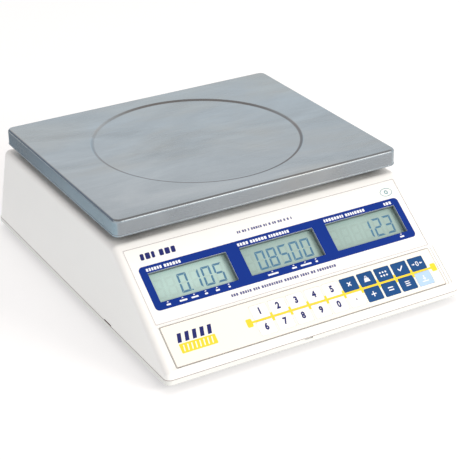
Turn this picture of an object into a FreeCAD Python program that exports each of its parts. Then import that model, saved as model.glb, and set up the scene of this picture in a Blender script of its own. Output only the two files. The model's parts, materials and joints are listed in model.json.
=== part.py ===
import FreeCAD, Part
import math
import os

# Counting scale, millimetres.  The front faces -Y, +Z is up, and the origin is on the table
# under the middle of the case.

V = FreeCAD.Vector

# ---------------------------------------------------------------- case
CASE_W = 311.0            # over the lower shell
CASE_D = 379.0
FOOT_DROP = 6.0           # shell underside above the table
LOWER_RIM_H = 5.6         # visible strip of the lower shell
PARTING_GAP = 0.5
DECK_Z = 94.5
SIDE_DRAFT = 2.1          # degrees from vertical
BACK_DRAFT = 15.3
FRONT_DRAFT = 2.0
PANEL_TILT = 36.87        # degrees from level, the 3-4-5 slope
PANEL_TOP_Y = -91.65      # upper edge of the label recess
PANEL_TOP_Z = 90.34
EDGE_R = 6.0
WALL = 2.8
PANEL_WALL = 4.6

# ---------------------------------------------------------------- weighing pan
PAN_W = 300.0
PAN_D = 250.0
PAN_Y = 35.0              # pan centre
PAN_TOP = 120.0
PAN_SKIRT = 16.4
PAN_T = 1.2
PAN_CORNER_R = 7.0
PAN_EDGE_R = 2.8
HEM_H = 4.0
HEM_T = 2.2
RING_R = 104.5            # pressed disc in the middle of the pan
RING_RUN = 3.0
RING_DROP = 1.2

# ---------------------------------------------------------------- display
LABEL_W = 289.4
LABEL_LEN = 75.0          # down the slope
LABEL_T = 0.35
LABEL_SINK = 0.45
WINDOW_W = 78.4
WINDOW_LEN = 29.4
WINDOW_PITCH = 92.3
WINDOW_MID = 41.1         # down the slope from the label's upper edge
WINDOW_EASE = 0.4
LENS_T = 1.0
LCD_T = 2.8
LCD_TOP = -PANEL_WALL - LENS_T - 0.1
HOLDER_BACK = LCD_TOP - LCD_T - 2.0
EAR_T = 1.4

# ---------------------------------------------------------------- keypad
POCKET_W = 298.0
POCKET_FROM = 76.4
POCKET_TO = 118.0
POCKET_STEP = 0.7
WELL_W = 291.6
WELL_FROM = 77.4
WELL_DEPTH = 2.6
OVERLAY_W = 285.4
OVERLAY_FROM = 78.0
OVERLAY_TO = 117.2
OVERLAY_TOP = 0.25
OVERLAY_FOOT = 2.2
KEY_W = 16.7
KEY_LEN = 13.6
KEY_R = 1.3
KEY_PITCH = 19.05
KEY_COLUMNS = 10
KEY_ROWS_AT = (89.9, 105.8)
KEY_X0 = -48.0
KEY_GAP = 0.2
KEY_T = 1.05
KEY_TOP = 0.15
DOME_R = 5.0
DOME_H = 0.3
CIRCUIT_T = 0.4

# ---------------------------------------------------------------- load path
CELL_L = 130.0
CELL_W = 30.0
CELL_H = 22.0
CELL_Z = 40.0
CELL_HOLE_X = (-54.0, -40.0)
PLATE_Z = 12.0
PLATE_T = 3.0
SPIDER_Z = 98.0
SPIDER_H = 10.0
CUSHION_X = 118.0
CUSHION_Y = 92.0
CUSHION_R = 9.0
M6_R = 3.0
M6_CLEAR_R = 3.2

# ---------------------------------------------------------------- feet
FOOT_X = 128.0
FOOT_Y = 160.0
STUD_R = 4.0
STUD_BORE_R = 4.05
KNOB_R = 14.0
PAD_R = 13.0
PAD_H = 3.0

SHELL_Z = FOOT_DROP
PARTING_Z = SHELL_Z + LOWER_RIM_H + PARTING_GAP
HALF_W = CASE_W / 2
HALF_D = CASE_D / 2
FLOOR_TOP = SHELL_Z + 3.0
SLOPE = math.tan(math.radians(PANEL_TILT))
PAN_UNDER = PAN_TOP - PAN_T


# ---------------------------------------------------------------- helpers
def box(x0, x1, y0, y1, z0, z1):
    return Part.makeBox(x1 - x0, y1 - y0, z1 - z0, V(x0, y0, z0))


def slab(x0, x1, y0, y1, z0, z1, r):
    """A block with rounded upright corners."""
    body = box(x0, x1, y0, y1, z0, z1)
    upright = [e for e in body.Edges if abs(e.tangentAt(e.FirstParameter).z) > 0.9]
    return body.makeFillet(r, upright)


def rod(r, x, y, z0, z1):
    return Part.makeCylinder(r, z1 - z0, V(x, y, z0))


def rod_y(r, x, y0, y1, z):
    return Part.makeCylinder(r, y1 - y0, V(x, y0, z), V(0, 1, 0))


def rod_x(r, x0, x1, y, z):
    return Part.makeCylinder(r, x1 - x0, V(x0, y, z), V(1, 0, 0))


def hexagon(across, x, y, z0, z1):
    radius = across / math.sqrt(3)
    corners = [V(x + radius * math.cos(math.radians(a)), y + radius * math.sin(math.radians(a)), z0)
               for a in range(0, 361, 60)]
    return Part.Face(Part.makePolygon(corners)).extrude(V(0, 0, z1 - z0))


def join(shapes):
    whole = shapes[0]
    for shape in shapes[1:]:
        whole = whole.fuse(shape)
    return whole.removeSplitter()


def prism_x(points, x0, x1):
    """Profile of (y, z) points swept along X."""
    corners = [V(x0, y, z) for y, z in points]
    return Part.Face(Part.makePolygon(corners + corners[:1])).extrude(V(x1 - x0, 0, 0))


def prism_y(points, y0, y1):
    """Profile of (x, z) points swept along Y."""
    corners = [V(x, y0, z) for x, z in points]
    return Part.Face(Part.makePolygon(corners + corners[:1])).extrude(V(0, y1 - y0, 0))


def on_panel(shape):
    """From panel coordinates (x across, y = minus the distance down the slope, z outward)."""
    placed = shape.copy()
    placed.rotate(V(0, 0, 0), V(1, 0, 0), PANEL_TILT)
    placed.translate(V(0, PANEL_TOP_Y, PANEL_TOP_Z))
    return placed


def wall_x(z):
    return HALF_W - math.tan(math.radians(SIDE_DRAFT)) * (z - SHELL_Z)


def on_right_wall(shape, y, z):
    """From wall coordinates (x outward from the outer skin, z up the wall)."""
    placed = shape.copy()
    placed.rotate(V(0, 0, 0), V(0, 1, 0), -SIDE_DRAFT)
    placed.translate(V(wall_x(z), y, z))
    return placed


def save(name, shape):
    shape.exportStep(os.path.join("parts", name + ".step"))


# ---------------------------------------------------------------- case shells
def case_form(inset, top_inset, panel_inset, z_low, radius):
    """The wedge-fronted case form, moved inward by the given wall thicknesses."""
    low_half_w = HALF_W - inset
    drop = panel_inset / math.cos(math.radians(PANEL_TILT))
    ceiling = DECK_Z - top_inset
    front_lean = math.tan(math.radians(FRONT_DRAFT))
    back_lean = math.tan(math.radians(BACK_DRAFT))
    front_low = -(HALF_D - inset) + front_lean * (z_low - SHELL_Z)
    slope_zero = PANEL_TOP_Z - drop - SLOPE * PANEL_TOP_Y
    edge_z = (slope_zero + SLOPE * (-(HALF_D - inset) - front_lean * SHELL_Z)) / (1 - SLOPE * front_lean)
    edge_y = (edge_z - slope_zero) / SLOPE
    brow_y = (ceiling - slope_zero) / SLOPE
    back_top = (HALF_D - inset) - back_lean * (ceiling - SHELL_Z)
    back_low = (HALF_D - inset) - back_lean * (z_low - SHELL_Z)
    side = [(front_low, z_low), (edge_y, edge_z), (brow_y, ceiling), (back_top, ceiling), (back_low, z_low)]
    lean = math.tan(math.radians(SIDE_DRAFT))
    half_low = low_half_w - lean * (z_low - SHELL_Z)
    half_top = low_half_w - lean * (ceiling - SHELL_Z)
    across = [(-half_low, z_low), (half_low, z_low), (half_top, ceiling), (-half_top, ceiling)]
    form = prism_x(side, -CASE_W, CASE_W).common(prism_y(across, -CASE_D, CASE_D))
    if radius:
        rounded = [e for e in form.Edges if e.CenterOfMass.z > z_low + 0.01]
        form = form.makeFillet(radius, rounded)
    return form


CASE_SCREWS = [(-144.2, -119.0), (144.2, -119.0), (-140.0, 20.0), (140.0, 20.0),
               (-95.0, 166.0), (95.0, 166.0)]
DECK_HOLE = (50.0, PAN_Y, 29.0)
LEVEL_AT = (0.0, -56.0)
SWITCH_AT = (-10.0, 42.0)
JACK_AT = (34.0, 42.0)
SIDE_SINK = 3.6
BATTERY_Y = (98.0, 168.0)
BATTERY_HALF_L = 50.5
DOOR_HALF_W = 54.0
DOOR_Y = (95.0, 171.0)
DOOR_TRAVEL = 10.0
SIDE_NOTCH_Y = (-81.0, -66.5)
FRONT_NOTCH_X = (-17.0, -8.5)


def window(index, ease, top, bottom):
    x = (index - 1) * WINDOW_PITCH
    half = WINDOW_W / 2 + ease
    mid = -WINDOW_MID
    length = WINDOW_LEN / 2 + ease
    return slab(x - half, x + half, mid - length, mid + length, bottom, top, 0.6)


def key_place(row, column):
    return KEY_X0 + KEY_PITCH * column, -KEY_ROWS_AT[row]


def key_block(row, column, ease, top, bottom):
    x, y = key_place(row, column)
    half = KEY_W / 2 + ease
    length = KEY_LEN / 2 + ease
    return slab(x - half, x + half, y - length, y + length, bottom, top, KEY_R)


def make_upper_shell():
    outer = case_form(0, 0, 0, PARTING_Z, EDGE_R)
    inner = case_form(WALL, WALL, PANEL_WALL, PARTING_Z - 1.0, 3.0)
    inner = inner.common(box(-CASE_W, CASE_W, -CASE_D, CASE_D, PARTING_Z - 1.0, DECK_Z))
    shell = outer.cut(inner)
    # screw pillars and the display frame's pillars hang from the roof
    pillars = [rod(4.6, x, y, PARTING_Z, DECK_Z - 1) for x, y in CASE_SCREWS]
    for x in (-139.0, 139.0):
        for down in (17.5, 64.0):
            pillars.append(on_panel(rod(2.6, x, -down, HOLDER_BACK + EAR_T, -PANEL_WALL + 1)))
    shell = shell.fuse(Part.makeCompound([p.common(outer) for p in pillars]))
    for x, y in CASE_SCREWS:
        shell = shell.cut(rod(1.5, x, y, PARTING_Z - 1, PARTING_Z + 14))
    # stiffening ribs under the deck
    for x in (-90.0, 90.0):
        shell = shell.fuse(box(x - 1.2, x + 1.2, -60, 150, DECK_Z - 9, DECK_Z - 1))
    # opening for the load post, with an upstand round it
    x, y, half = DECK_HOLE
    shell = shell.fuse(slab(x - half - 2.4, x + half + 2.4, y - half - 2.4, y + half + 2.4,
                            DECK_Z - 1, DECK_Z + 1.6, 8.0))
    shell = shell.cut(slab(x - half, x + half, y - half, y + half, DECK_Z - 12, DECK_Z + 4, 6.0))
    # seat for the level
    shell = shell.cut(rod(9.3, LEVEL_AT[0], LEVEL_AT[1], DECK_Z - 10, DECK_Z + 4))
    # recess for the label, pocket and well for the keypad
    shell = shell.cut(on_panel(slab(-LABEL_W / 2 - 0.3, LABEL_W / 2 + 0.3, -LABEL_LEN - 0.3, 0.3,
                                    -LABEL_SINK, 2, 1.0)))
    shell = shell.cut(on_panel(slab(-POCKET_W / 2, POCKET_W / 2, -POCKET_TO, -POCKET_FROM,
                                    -POCKET_STEP, 2, 1.0)))
    shell = shell.cut(on_panel(slab(-WELL_W / 2, WELL_W / 2, -POCKET_TO, -WELL_FROM,
                                    -POCKET_STEP - 0.5, 2, 1.0)))
    shell = shell.cut(on_panel(slab(-OVERLAY_W / 2 - 0.3, OVERLAY_W / 2 + 0.3, -OVERLAY_TO - 0.3,
                                    -OVERLAY_FROM + 0.3, -WELL_DEPTH, 2, 1.0)))
    for index in range(3):
        shell = shell.cut(on_panel(window(index, WINDOW_EASE, 2, -PANEL_WALL - 2)))
    # slot for the keypad's tail
    shell = shell.cut(on_panel(box(-95, -75, -OVERLAY_FROM - 4.5, -OVERLAY_FROM - 2, -PANEL_WALL - 2, 0)))
    # the power switch and the inlet sit in sunk pockets of the right wall
    backing = box(-SIDE_SINK - WALL, -1, -16, 16, -13, 13).fuse(box(-SIDE_SINK - WALL, -1, 32, 56, -12, 12))
    shell = shell.fuse(on_right_wall(backing, *SWITCH_AT))
    shell = shell.cut(on_right_wall(box(-SIDE_SINK, 3, -13, 13, -10, 10), *SWITCH_AT))
    shell = shell.cut(on_right_wall(box(-8, 3, -9.7, 9.7, -6.7, 6.7), *SWITCH_AT))
    shell = shell.cut(on_right_wall(rod_x(9.0, -SIDE_SINK, 3, 0, 0), *JACK_AT))
    shell = shell.cut(on_right_wall(rod_x(5.1, -8, 3, 0, 0), *JACK_AT))
    # pry notches on the parting line
    shell = shell.cut(box(-HALF_W - 1, -HALF_W + 1.8, SIDE_NOTCH_Y[0], SIDE_NOTCH_Y[1],
                          PARTING_Z - 1, PARTING_Z + 1.2))
    return shell.removeSplitter()


def make_lower_shell():
    rim_top = SHELL_Z + LOWER_RIM_H
    body = slab(-HALF_W, HALF_W, -HALF_D, HALF_D, SHELL_Z, rim_top, EDGE_R)
    low_edges = [e for e in body.Edges if abs(e.CenterOfMass.z - SHELL_Z) < 0.01]
    body = body.makeFillet(1.6, low_edges)
    lip = 3.1
    lip_z = PARTING_Z + 4.0
    hollow = 5.0
    back_lean = math.tan(math.radians(BACK_DRAFT)) * (lip_z - SHELL_Z)
    tongue_back = HALF_D - WALL - back_lean - 0.35
    tongue = slab(-HALF_W + lip + 0.25, HALF_W - lip - 0.25, -HALF_D + lip + 0.25, tongue_back,
                  FLOOR_TOP, lip_z, 4.0)
    slope_trim = on_panel(box(-CASE_W, CASE_W, -200, 50, -PANEL_WALL - 2.2, 60))
    body = body.fuse(tongue.cut(slope_trim))
    body = body.cut(slab(-HALF_W + hollow, HALF_W - hollow, -HALF_D + hollow, tongue_back - 1.6,
                         FLOOR_TOP, lip_z + 5, 3.0))
    # floor pads: load plate, battery bay, feet, screw pillars, board posts
    body = body.fuse(slab(-88, 88, PAN_Y - 44, PAN_Y + 44, FLOOR_TOP - 1, PLATE_Z, 4.0))
    body = body.fuse(slab(-72, 72, 90, 184, FLOOR_TOP - 1, FLOOR_TOP + 2, 4.0))
    for sx in (-1, 1):
        for sy in (-1, 1):
            body = body.fuse(rod(20.0, sx * FOOT_X, sy * FOOT_Y, FLOOR_TOP - 1, FLOOR_TOP + 3.5))
            body = body.fuse(rod(9.0, sx * FOOT_X, sy * FOOT_Y, FLOOR_TOP, 26.0).cut(slope_trim))
    for x, y in CASE_SCREWS:
        body = body.fuse(rod(7.0, x, y, FLOOR_TOP - 1, PARTING_Z - 0.1))
    for x in (-132.0, -12.0):
        for y in (-122.0, -62.0):
            body = body.fuse(rod(3.5, x, y, FLOOR_TOP - 1, 16.0))
            body = body.fuse(rod(1.4, x, y, 15.0, 18.4))
    for y in (-100.0, -40.0):
        body = body.fuse(box(20, 130, y - 1, y + 1, FLOOR_TOP - 1, FLOOR_TOP + 5))
    # foot wells and stud bores
    for sx in (-1, 1):
        for sy in (-1, 1):
            body = body.cut(rod(17.0, sx * FOOT_X, sy * FOOT_Y, SHELL_Z - 1, 9.3))
            body = body.cut(rod(STUD_BORE_R, sx * FOOT_X, sy * FOOT_Y, SHELL_Z, 27.0))
    # case screw holes with head wells
    for x, y in CASE_SCREWS:
        body = body.cut(rod(1.9, x, y, SHELL_Z - 1, PARTING_Z + 1))
        body = body.cut(rod(4.0, x, y, SHELL_Z - 1, 9.0))
    # load cell screw holes
    for x in CELL_HOLE_X:
        body = body.cut(rod(6.0, x, PAN_Y, SHELL_Z - 1, PLATE_Z + 1))
    # battery bay opening, door recess, tongue slots and their way in
    low, high = DOOR_Y
    body = body.cut(slab(-BATTERY_HALF_L - 1, BATTERY_HALF_L + 1, low + 2.4, high - 2.4, SHELL_Z - 1, 14, 2.0))
    body = body.cut(slab(-DOOR_HALF_W - 0.4, DOOR_HALF_W + 0.4, low - 0.4, high + DOOR_TRAVEL + 0.6,
                         SHELL_Z - 1, 8.7, 2.0))
    for y in (low + 12, high - 24):
        body = body.cut(box(-DOOR_HALF_W - 3.6, DOOR_HALF_W + 3.6, y - 0.5, y + 21.5, 7.0, 8.7))
        body = body.cut(box(-DOOR_HALF_W - 3.6, DOOR_HALF_W + 3.6, y + 10.5, y + 21.5, SHELL_Z - 1, 8.7))
    # vent slots under the board and the pry notch in the front strip
    for i in range(7):
        body = body.cut(box(-110, -50, -116 + 8 * i, -113 + 8 * i, SHELL_Z - 1, FLOOR_TOP + 1))
    body = body.cut(box(FRONT_NOTCH_X[0], FRONT_NOTCH_X[1], -HALF_D - 1, -HALF_D + 1.2,
                        rim_top - 1.4, rim_top + 1))
    return body.removeSplitter()


def make_case_screws():
    solids = []
    for x, y in CASE_SCREWS:
        head = rod(3.6, x, y, 7.0, 8.95).cut(box(x - 0.5, x + 0.5, y - 2.4, y + 2.4, 6.5, 8.0))
        head = head.cut(box(x - 2.4, x + 2.4, y - 0.5, y + 0.5, 6.5, 8.0))
        solids.append(head.fuse(rod(1.45, x, y, 8.9, PARTING_Z + 12)).removeSplitter())
    return Part.makeCompound(solids)


# ---------------------------------------------------------------- load path
def make_base_plate():
    plate = slab(-84, 84, PAN_Y - 38, PAN_Y + 38, PLATE_Z, PLATE_Z + PLATE_T, 5.0)
    for x in CELL_HOLE_X:
        plate = plate.cut(rod(M6_CLEAR_R, x, PAN_Y, PLATE_Z - 1, PLATE_Z + PLATE_T + 1))
    return plate.cut(rod(M6_R + 0.05, 57.0, PAN_Y, PLATE_Z - 1, PLATE_Z + PLATE_T + 1))


def make_cell_base_spacer():
    block = slab(-CELL_L / 2 + 1, -CELL_L / 2 + 35, PAN_Y - 15, PAN_Y + 15, PLATE_Z + PLATE_T, CELL_Z, 1.5)
    for x in CELL_HOLE_X:
        block = block.cut(rod(M6_CLEAR_R, x, PAN_Y, PLATE_Z, CELL_Z + 1))
    return block


def make_load_cell():
    half = CELL_L / 2
    beam = box(-half, half, PAN_Y - CELL_W / 2, PAN_Y + CELL_W / 2, CELL_Z, CELL_Z + CELL_H)
    beam = beam.makeChamfer(0.8, [e for e in beam.Edges if abs(e.tangentAt(e.FirstParameter).x) > 0.9])
    mid = CELL_Z + CELL_H / 2
    for x in (-15.0, 15.0):
        beam = beam.cut(rod_y(8.2, x, PAN_Y - 20, PAN_Y + 20, mid))
    beam = beam.cut(box(-15, 15, PAN_Y - 20, PAN_Y + 20, mid - 4, mid + 4))
    for x in CELL_HOLE_X:
        beam = beam.cut(rod(M6_R + 0.05, x, PAN_Y, CELL_Z - 1, CELL_Z + 14))
        beam = beam.cut(rod(M6_R + 0.05, -x, PAN_Y, CELL_Z + 8, CELL_Z + CELL_H + 1))
    return beam


def make_cell_top_spacer():
    block = slab(CELL_L / 2 - 34, CELL_L / 2 - 1, PAN_Y - 15, PAN_Y + 15, CELL_Z + CELL_H, SPIDER_Z, 1.5)
    for x in CELL_HOLE_X:
        block = block.cut(rod(M6_CLEAR_R, -x, PAN_Y, CELL_Z, SPIDER_Z + 1))
    return block


def cell_screw(x, z_head, z_tip):
    """Socket-head screw; the head end may be above or below the tip."""
    down = z_tip < z_head
    head_far = z_head + 5.0 if down else z_head - 5.0
    low, high = sorted((z_head, head_far))
    head = rod(5.0, x, PAN_Y, low, high)
    socket = (high - 3.0, high + 1.0) if down else (low - 1.0, low + 3.0)
    head = head.cut(hexagon(5.0, x, PAN_Y, *socket))
    shank = rod(M6_R, x, PAN_Y, *sorted((z_head + (1 if down else -1), z_tip)))
    return head.fuse(shank).removeSplitter()


def make_lower_cell_screws():
    return Part.makeCompound([cell_screw(x, PLATE_Z, CELL_Z + 12) for x in CELL_HOLE_X])


def make_upper_cell_screws():
    top = SPIDER_Z + SPIDER_H - 2.0
    return Part.makeCompound([cell_screw(-x, top, CELL_Z + 10) for x in CELL_HOLE_X])


def make_overload_stop():
    stud = rod(M6_R, 57.0, PAN_Y, PLATE_Z + 0.2, CELL_Z - 0.6)
    nut = hexagon(10.0, 57.0, PAN_Y, PLATE_Z + PLATE_T, PLATE_Z + PLATE_T + 5)
    return stud.fuse(nut).removeSplitter()


def make_pan_support():
    z0 = SPIDER_Z
    z1 = SPIDER_Z + SPIDER_H
    parts = [slab(-34, 72, PAN_Y - 26, PAN_Y + 26, z0, z1 - 2, 8.0)]
    reach = math.hypot(CUSHION_X, CUSHION_Y)
    for sx in (-1, 1):
        for sy in (-1, 1):
            arm = box(0, reach, -10, 10, z0, z0 + 3.0)
            arm = arm.fuse(box(0, reach, -10, -7, z0, z1 - 1))
            arm = arm.fuse(box(0, reach, 7, 10, z0, z1 - 1))
            arm.rotate(V(0, 0, 0), V(0, 0, 1), math.degrees(math.atan2(sy * CUSHION_Y, sx * CUSHION_X)))
            arm.translate(V(0, PAN_Y, 0))
            parts.append(arm)
            parts.append(rod(14.0, sx * CUSHION_X, PAN_Y + sy * CUSHION_Y, z0, z1))
    frame = join(parts)
    frame = frame.cut(slab(-26, 18, PAN_Y - 18, PAN_Y + 18, z0 + 3, z1 + 1, 5.0))
    for x in CELL_HOLE_X:
        frame = frame.cut(rod(M6_CLEAR_R, -x, PAN_Y, z0 - 1, z1 + 1))
    for sx in (-1, 1):
        for sy in (-1, 1):
            frame = frame.cut(rod(4.0, sx * CUSHION_X, PAN_Y + sy * CUSHION_Y, z0 - 1, z1 + 1))
    return frame


def make_pan_cushions():
    solids = []
    z1 = SPIDER_Z + SPIDER_H
    for sx in (-1, 1):
        for sy in (-1, 1):
            x = sx * CUSHION_X
            y = PAN_Y + sy * CUSHION_Y
            cushion = rod(CUSHION_R, x, y, z1, PAN_UNDER).fuse(rod(3.95, x, y, z1 - 6, z1))
            cushion = cushion.fuse(Part.makeCone(CUSHION_R + 2.5, CUSHION_R, 3.0, V(x, y, z1)))
            cushion = cushion.cut(rod(2.8, x, y, PAN_UNDER - 9, PAN_UNDER + 1))
            solids.append(cushion.removeSplitter())
    return Part.makeCompound(solids)


def make_weighing_pan():
    low = PAN_TOP - PAN_SKIRT
    x = PAN_W / 2
    y0 = PAN_Y - PAN_D / 2
    y1 = PAN_Y + PAN_D / 2
    body = slab(-x, x, y0, y1, low, PAN_TOP, PAN_CORNER_R)
    body = body.makeFillet(PAN_EDGE_R, [e for e in body.Edges if abs(e.CenterOfMass.z - PAN_TOP) < 0.01])
    hollow = slab(-x + PAN_T, x - PAN_T, y0 + PAN_T, y1 - PAN_T, low + HEM_H, PAN_UNDER, PAN_CORNER_R - PAN_T)
    hollow = hollow.makeFillet(PAN_EDGE_R - PAN_T,
                               [e for e in hollow.Edges if abs(e.CenterOfMass.z - PAN_UNDER) < 0.01])
    mouth = slab(-x + HEM_T, x - HEM_T, y0 + HEM_T, y1 - HEM_T, low - 1, low + HEM_H + 1, PAN_CORNER_R - HEM_T)
    # the pressed disc sinks the same way on both faces
    under_disc = Part.makeCone(RING_R - RING_RUN + PAN_T, RING_R + PAN_T, RING_DROP, V(0, PAN_Y, PAN_UNDER - RING_DROP))
    top_disc = Part.makeCone(RING_R - RING_RUN, RING_R, RING_DROP, V(0, PAN_Y, PAN_TOP - RING_DROP))
    body = body.cut(hollow.cut(under_disc)).cut(mouth).cut(top_disc)
    for sx in (-1, 1):
        for sy in (-1, 1):
            pin = rod(2.4, sx * CUSHION_X, PAN_Y + sy * CUSHION_Y, PAN_UNDER - 6, PAN_UNDER + 0.5)
            body = body.fuse(pin)
    return body.removeSplitter()


# ---------------------------------------------------------------- display and keypad
def make_display_label():
    half = LABEL_W / 2
    label = slab(-half, half, -LABEL_LEN, 0, -LABEL_SINK, -LABEL_SINK + LABEL_T, 0.8)
    for index in range(3):
        label = label.cut(window(index, 0, 1, -1))
    return on_panel(label)


def make_display_lens():
    half = WINDOW_PITCH + WINDOW_W / 2 + 4
    lens = slab(-half, half, -WINDOW_MID - WINDOW_LEN / 2 - 3, -WINDOW_MID + WINDOW_LEN / 2 + 3,
                -PANEL_WALL - LENS_T, -PANEL_WALL, 1.0)
    return on_panel(lens)


def lcd_body(index):
    return (index - 1) * WINDOW_PITCH, LCD_TOP


def make_lcd(index):
    x, top = lcd_body(index)
    half = WINDOW_W / 2 + 2.6
    length = WINDOW_LEN / 2 + 3.2
    front = box(x - half, x + half, -WINDOW_MID - length + 2.2, -WINDOW_MID + length - 2.2, top - 1.1, top)
    back = box(x - half, x + half, -WINDOW_MID - length, -WINDOW_MID + length, top - LCD_T, top - 1.1)
    return on_panel(front.fuse(back).removeSplitter())


def make_lcd_holder():
    top = LCD_TOP
    deep = HOLDER_BACK
    half = WINDOW_PITCH + WINDOW_W / 2 + 4.6
    length = WINDOW_LEN / 2 + 7.0
    frame = slab(-half, half, -WINDOW_MID - length, -WINDOW_MID + length, deep, top, 2.0)
    for x in (-139.0, 139.0):
        for down in (17.5, 64.0):
            inner = x - math.copysign(12.0, x)
            ear = box(min(x, inner), max(x, inner), -down - 4, -down + 4, deep, deep + EAR_T)
            frame = frame.fuse(ear).fuse(rod(4.0, x, -down, deep, deep + EAR_T))
    for index in range(3):
        x, top = lcd_body(index)
        w = WINDOW_W / 2 + 2.8
        ln = WINDOW_LEN / 2 + 3.4
        frame = frame.cut(box(x - w, x + w, -WINDOW_MID - ln, -WINDOW_MID + ln, top - LCD_T - 0.1, top + 1))
        frame = frame.cut(box(x - w + 5, x + w - 5, -WINDOW_MID - ln + 5, -WINDOW_MID + ln - 5, deep - 1, top))
    for x in (-139.0, 139.0):
        for down in (17.5, 64.0):
            frame = frame.cut(rod(1.5, x, -down, deep - 1, deep + 3))
    return on_panel(frame.removeSplitter())


def make_display_board():
    top = HOLDER_BACK
    half = WINDOW_PITCH + WINDOW_W / 2 + 4
    board = slab(-half, half, -WINDOW_MID - 19, -WINDOW_MID + 19, top - 1.6, top, 1.0)
    board = board.fuse(box(-60, -42, -WINDOW_MID - 6, -WINDOW_MID + 6, top - 4.0, top - 1.6))
    board = board.fuse(box(40, 58, -WINDOW_MID - 6, -WINDOW_MID + 6, top - 4.0, top - 1.6))
    board = board.fuse(box(-8, 14, -WINDOW_MID - 17, -WINDOW_MID - 11, top - 9.0, top - 1.6))
    return on_panel(board.removeSplitter())


def make_keypad_overlay():
    half = OVERLAY_W / 2
    sheet = slab(-half, half, -OVERLAY_TO, -OVERLAY_FROM, -OVERLAY_FOOT, -OVERLAY_TOP, 0.8)
    for row in range(2):
        for column in range(KEY_COLUMNS):
            sheet = sheet.cut(key_block(row, column, KEY_GAP, 1, -4))
    return on_panel(sheet)


def make_key(row, column):
    key = key_block(row, column, 0, -KEY_TOP, -KEY_TOP - KEY_T)
    crown = [e for e in key.Edges if abs(e.CenterOfMass.z + KEY_TOP) < 0.01]
    return on_panel(key.makeFillet(0.25, crown))


def make_keypad_circuit():
    half = OVERLAY_W / 2
    sheet = slab(-half, half, -OVERLAY_TO, -OVERLAY_FROM, -WELL_DEPTH, -WELL_DEPTH + CIRCUIT_T, 0.8)
    tail = box(-93, -77, -OVERLAY_FROM - 3.6, -OVERLAY_FROM - 3.2, -24, -WELL_DEPTH + 0.1)
    return on_panel(sheet.fuse(tail).removeSplitter())


def make_key_domes():
    base = -WELL_DEPTH + CIRCUIT_T
    solids = []
    for row in range(2):
        for column in range(KEY_COLUMNS):
            x, y = key_place(row, column)
            rings = []
            for radius, z in ((DOME_R, base), (DOME_R * 0.5, base + DOME_H)):
                corners = [V(x + radius * math.cos(math.pi * i / 6), y + radius * math.sin(math.pi * i / 6), z)
                           for i in range(12)]
                rings.append(Part.makePolygon(corners + corners[:1]))
            solids.append(on_panel(Part.makeLoft(rings, True, True)))
    return Part.makeCompound(solids)


# ---------------------------------------------------------------- electronics and power
def make_main_board():
    board = slab(-136, -8, -128, -56, 16.0, 17.6, 2.0)
    for x in (-132.0, -12.0):
        for y in (-122.0, -62.0):
            board = board.cut(rod(1.6, x, y, 15, 19))
    return board


def make_board_parts():
    top = 17.6
    solids = [slab(-100, -72, -104, -90, top, top + 3.4, 0.6),
              slab(-60, -38, -104, -92, top, top + 3.0, 0.6),
              slab(-64, -44, -84, -70, top, top + 2.6, 0.6),
              box(-128, -118, -112, -78, top, top + 7.0),
              box(-110, -84, -66, -59, top, top + 8.0),
              box(-34, -14, -76, -68, top, top + 7.0)]
    for x, y in ((-30.0, -110.0), (-30.0, -96.0), (-112.0, -76.0)):
        solids.append(rod(4.0, x, y, top, top + 11.0))
    solids.append(rod(1.6, -80.0, -76.0, top, top + 4.0).fuse(rod(1.6, -75.0, -76.0, top, top + 4.0))
                  .fuse(box(-80, -75, -77.6, -74.4, top, top + 4.0)).removeSplitter())
    return Part.makeCompound(solids)


def make_battery():
    low, high = BATTERY_Y
    z0 = 9.0
    case = slab(-BATTERY_HALF_L, BATTERY_HALF_L - 4, low, high, z0, z0 + 47, 1.5)
    cover = slab(BATTERY_HALF_L - 8, BATTERY_HALF_L - 3, low + 1, high - 1, z0 + 1, z0 + 46, 1.5)
    for y in (low + 16, high - 16):
        case = case.fuse(box(BATTERY_HALF_L - 5, BATTERY_HALF_L, y - 0.4, y + 0.4, z0 + 30, z0 + 34.8))
    return case.fuse(cover).removeSplitter()


def make_battery_strap():
    z_foot = FLOOR_TOP + 2
    z_top = 57.4
    y0, y1 = 122.0, 146.0
    run = [(-68, z_foot), (-54.2, z_foot), (-54.2, z_top - 1.4), (54.2, z_top - 1.4), (54.2, z_foot), (68, z_foot),
           (68, z_foot + 1.4), (55.6, z_foot + 1.4), (55.6, z_top), (-55.6, z_top), (-55.6, z_foot + 1.4),
           (-68, z_foot + 1.4)]
    return prism_y(run, y0, y1)


def make_battery_door():
    low, high = DOOR_Y
    door = slab(-DOOR_HALF_W, DOOR_HALF_W, low, high, SHELL_Z + 0.2, 8.5, 1.6)
    for y in (low + 12, high - 24):
        door = door.fuse(box(-DOOR_HALF_W - 3, DOOR_HALF_W + 3, y, y + 10, 7.3, 8.5))
    for i in range(5):
        door = door.cut(box(-16, 16, low + 8 + 3 * i, low + 9.2 + 3 * i, SHELL_Z, SHELL_Z + 0.9))
    return door.removeSplitter()


def make_dc_jack():
    nose = rod_x(4.9, -6.0, 0.6, 0, 0)
    body = box(-15.0, -5.0, -5.0, 5.0, -5.5, 5.0)
    bore = rod_x(2.9, -9.0, 2.0, 0, 0)
    pin = rod_x(1.0, -10.0, -0.6, 0, 0)
    collar = rod_x(6.6, 0.0, 1.2, 0, 0)
    jack = nose.fuse(collar).fuse(body).cut(bore).fuse(pin)
    jack = jack.removeSplitter()
    jack.translate(V(-SIDE_SINK, 0, 0))
    return on_right_wall(jack, *JACK_AT)


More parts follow.
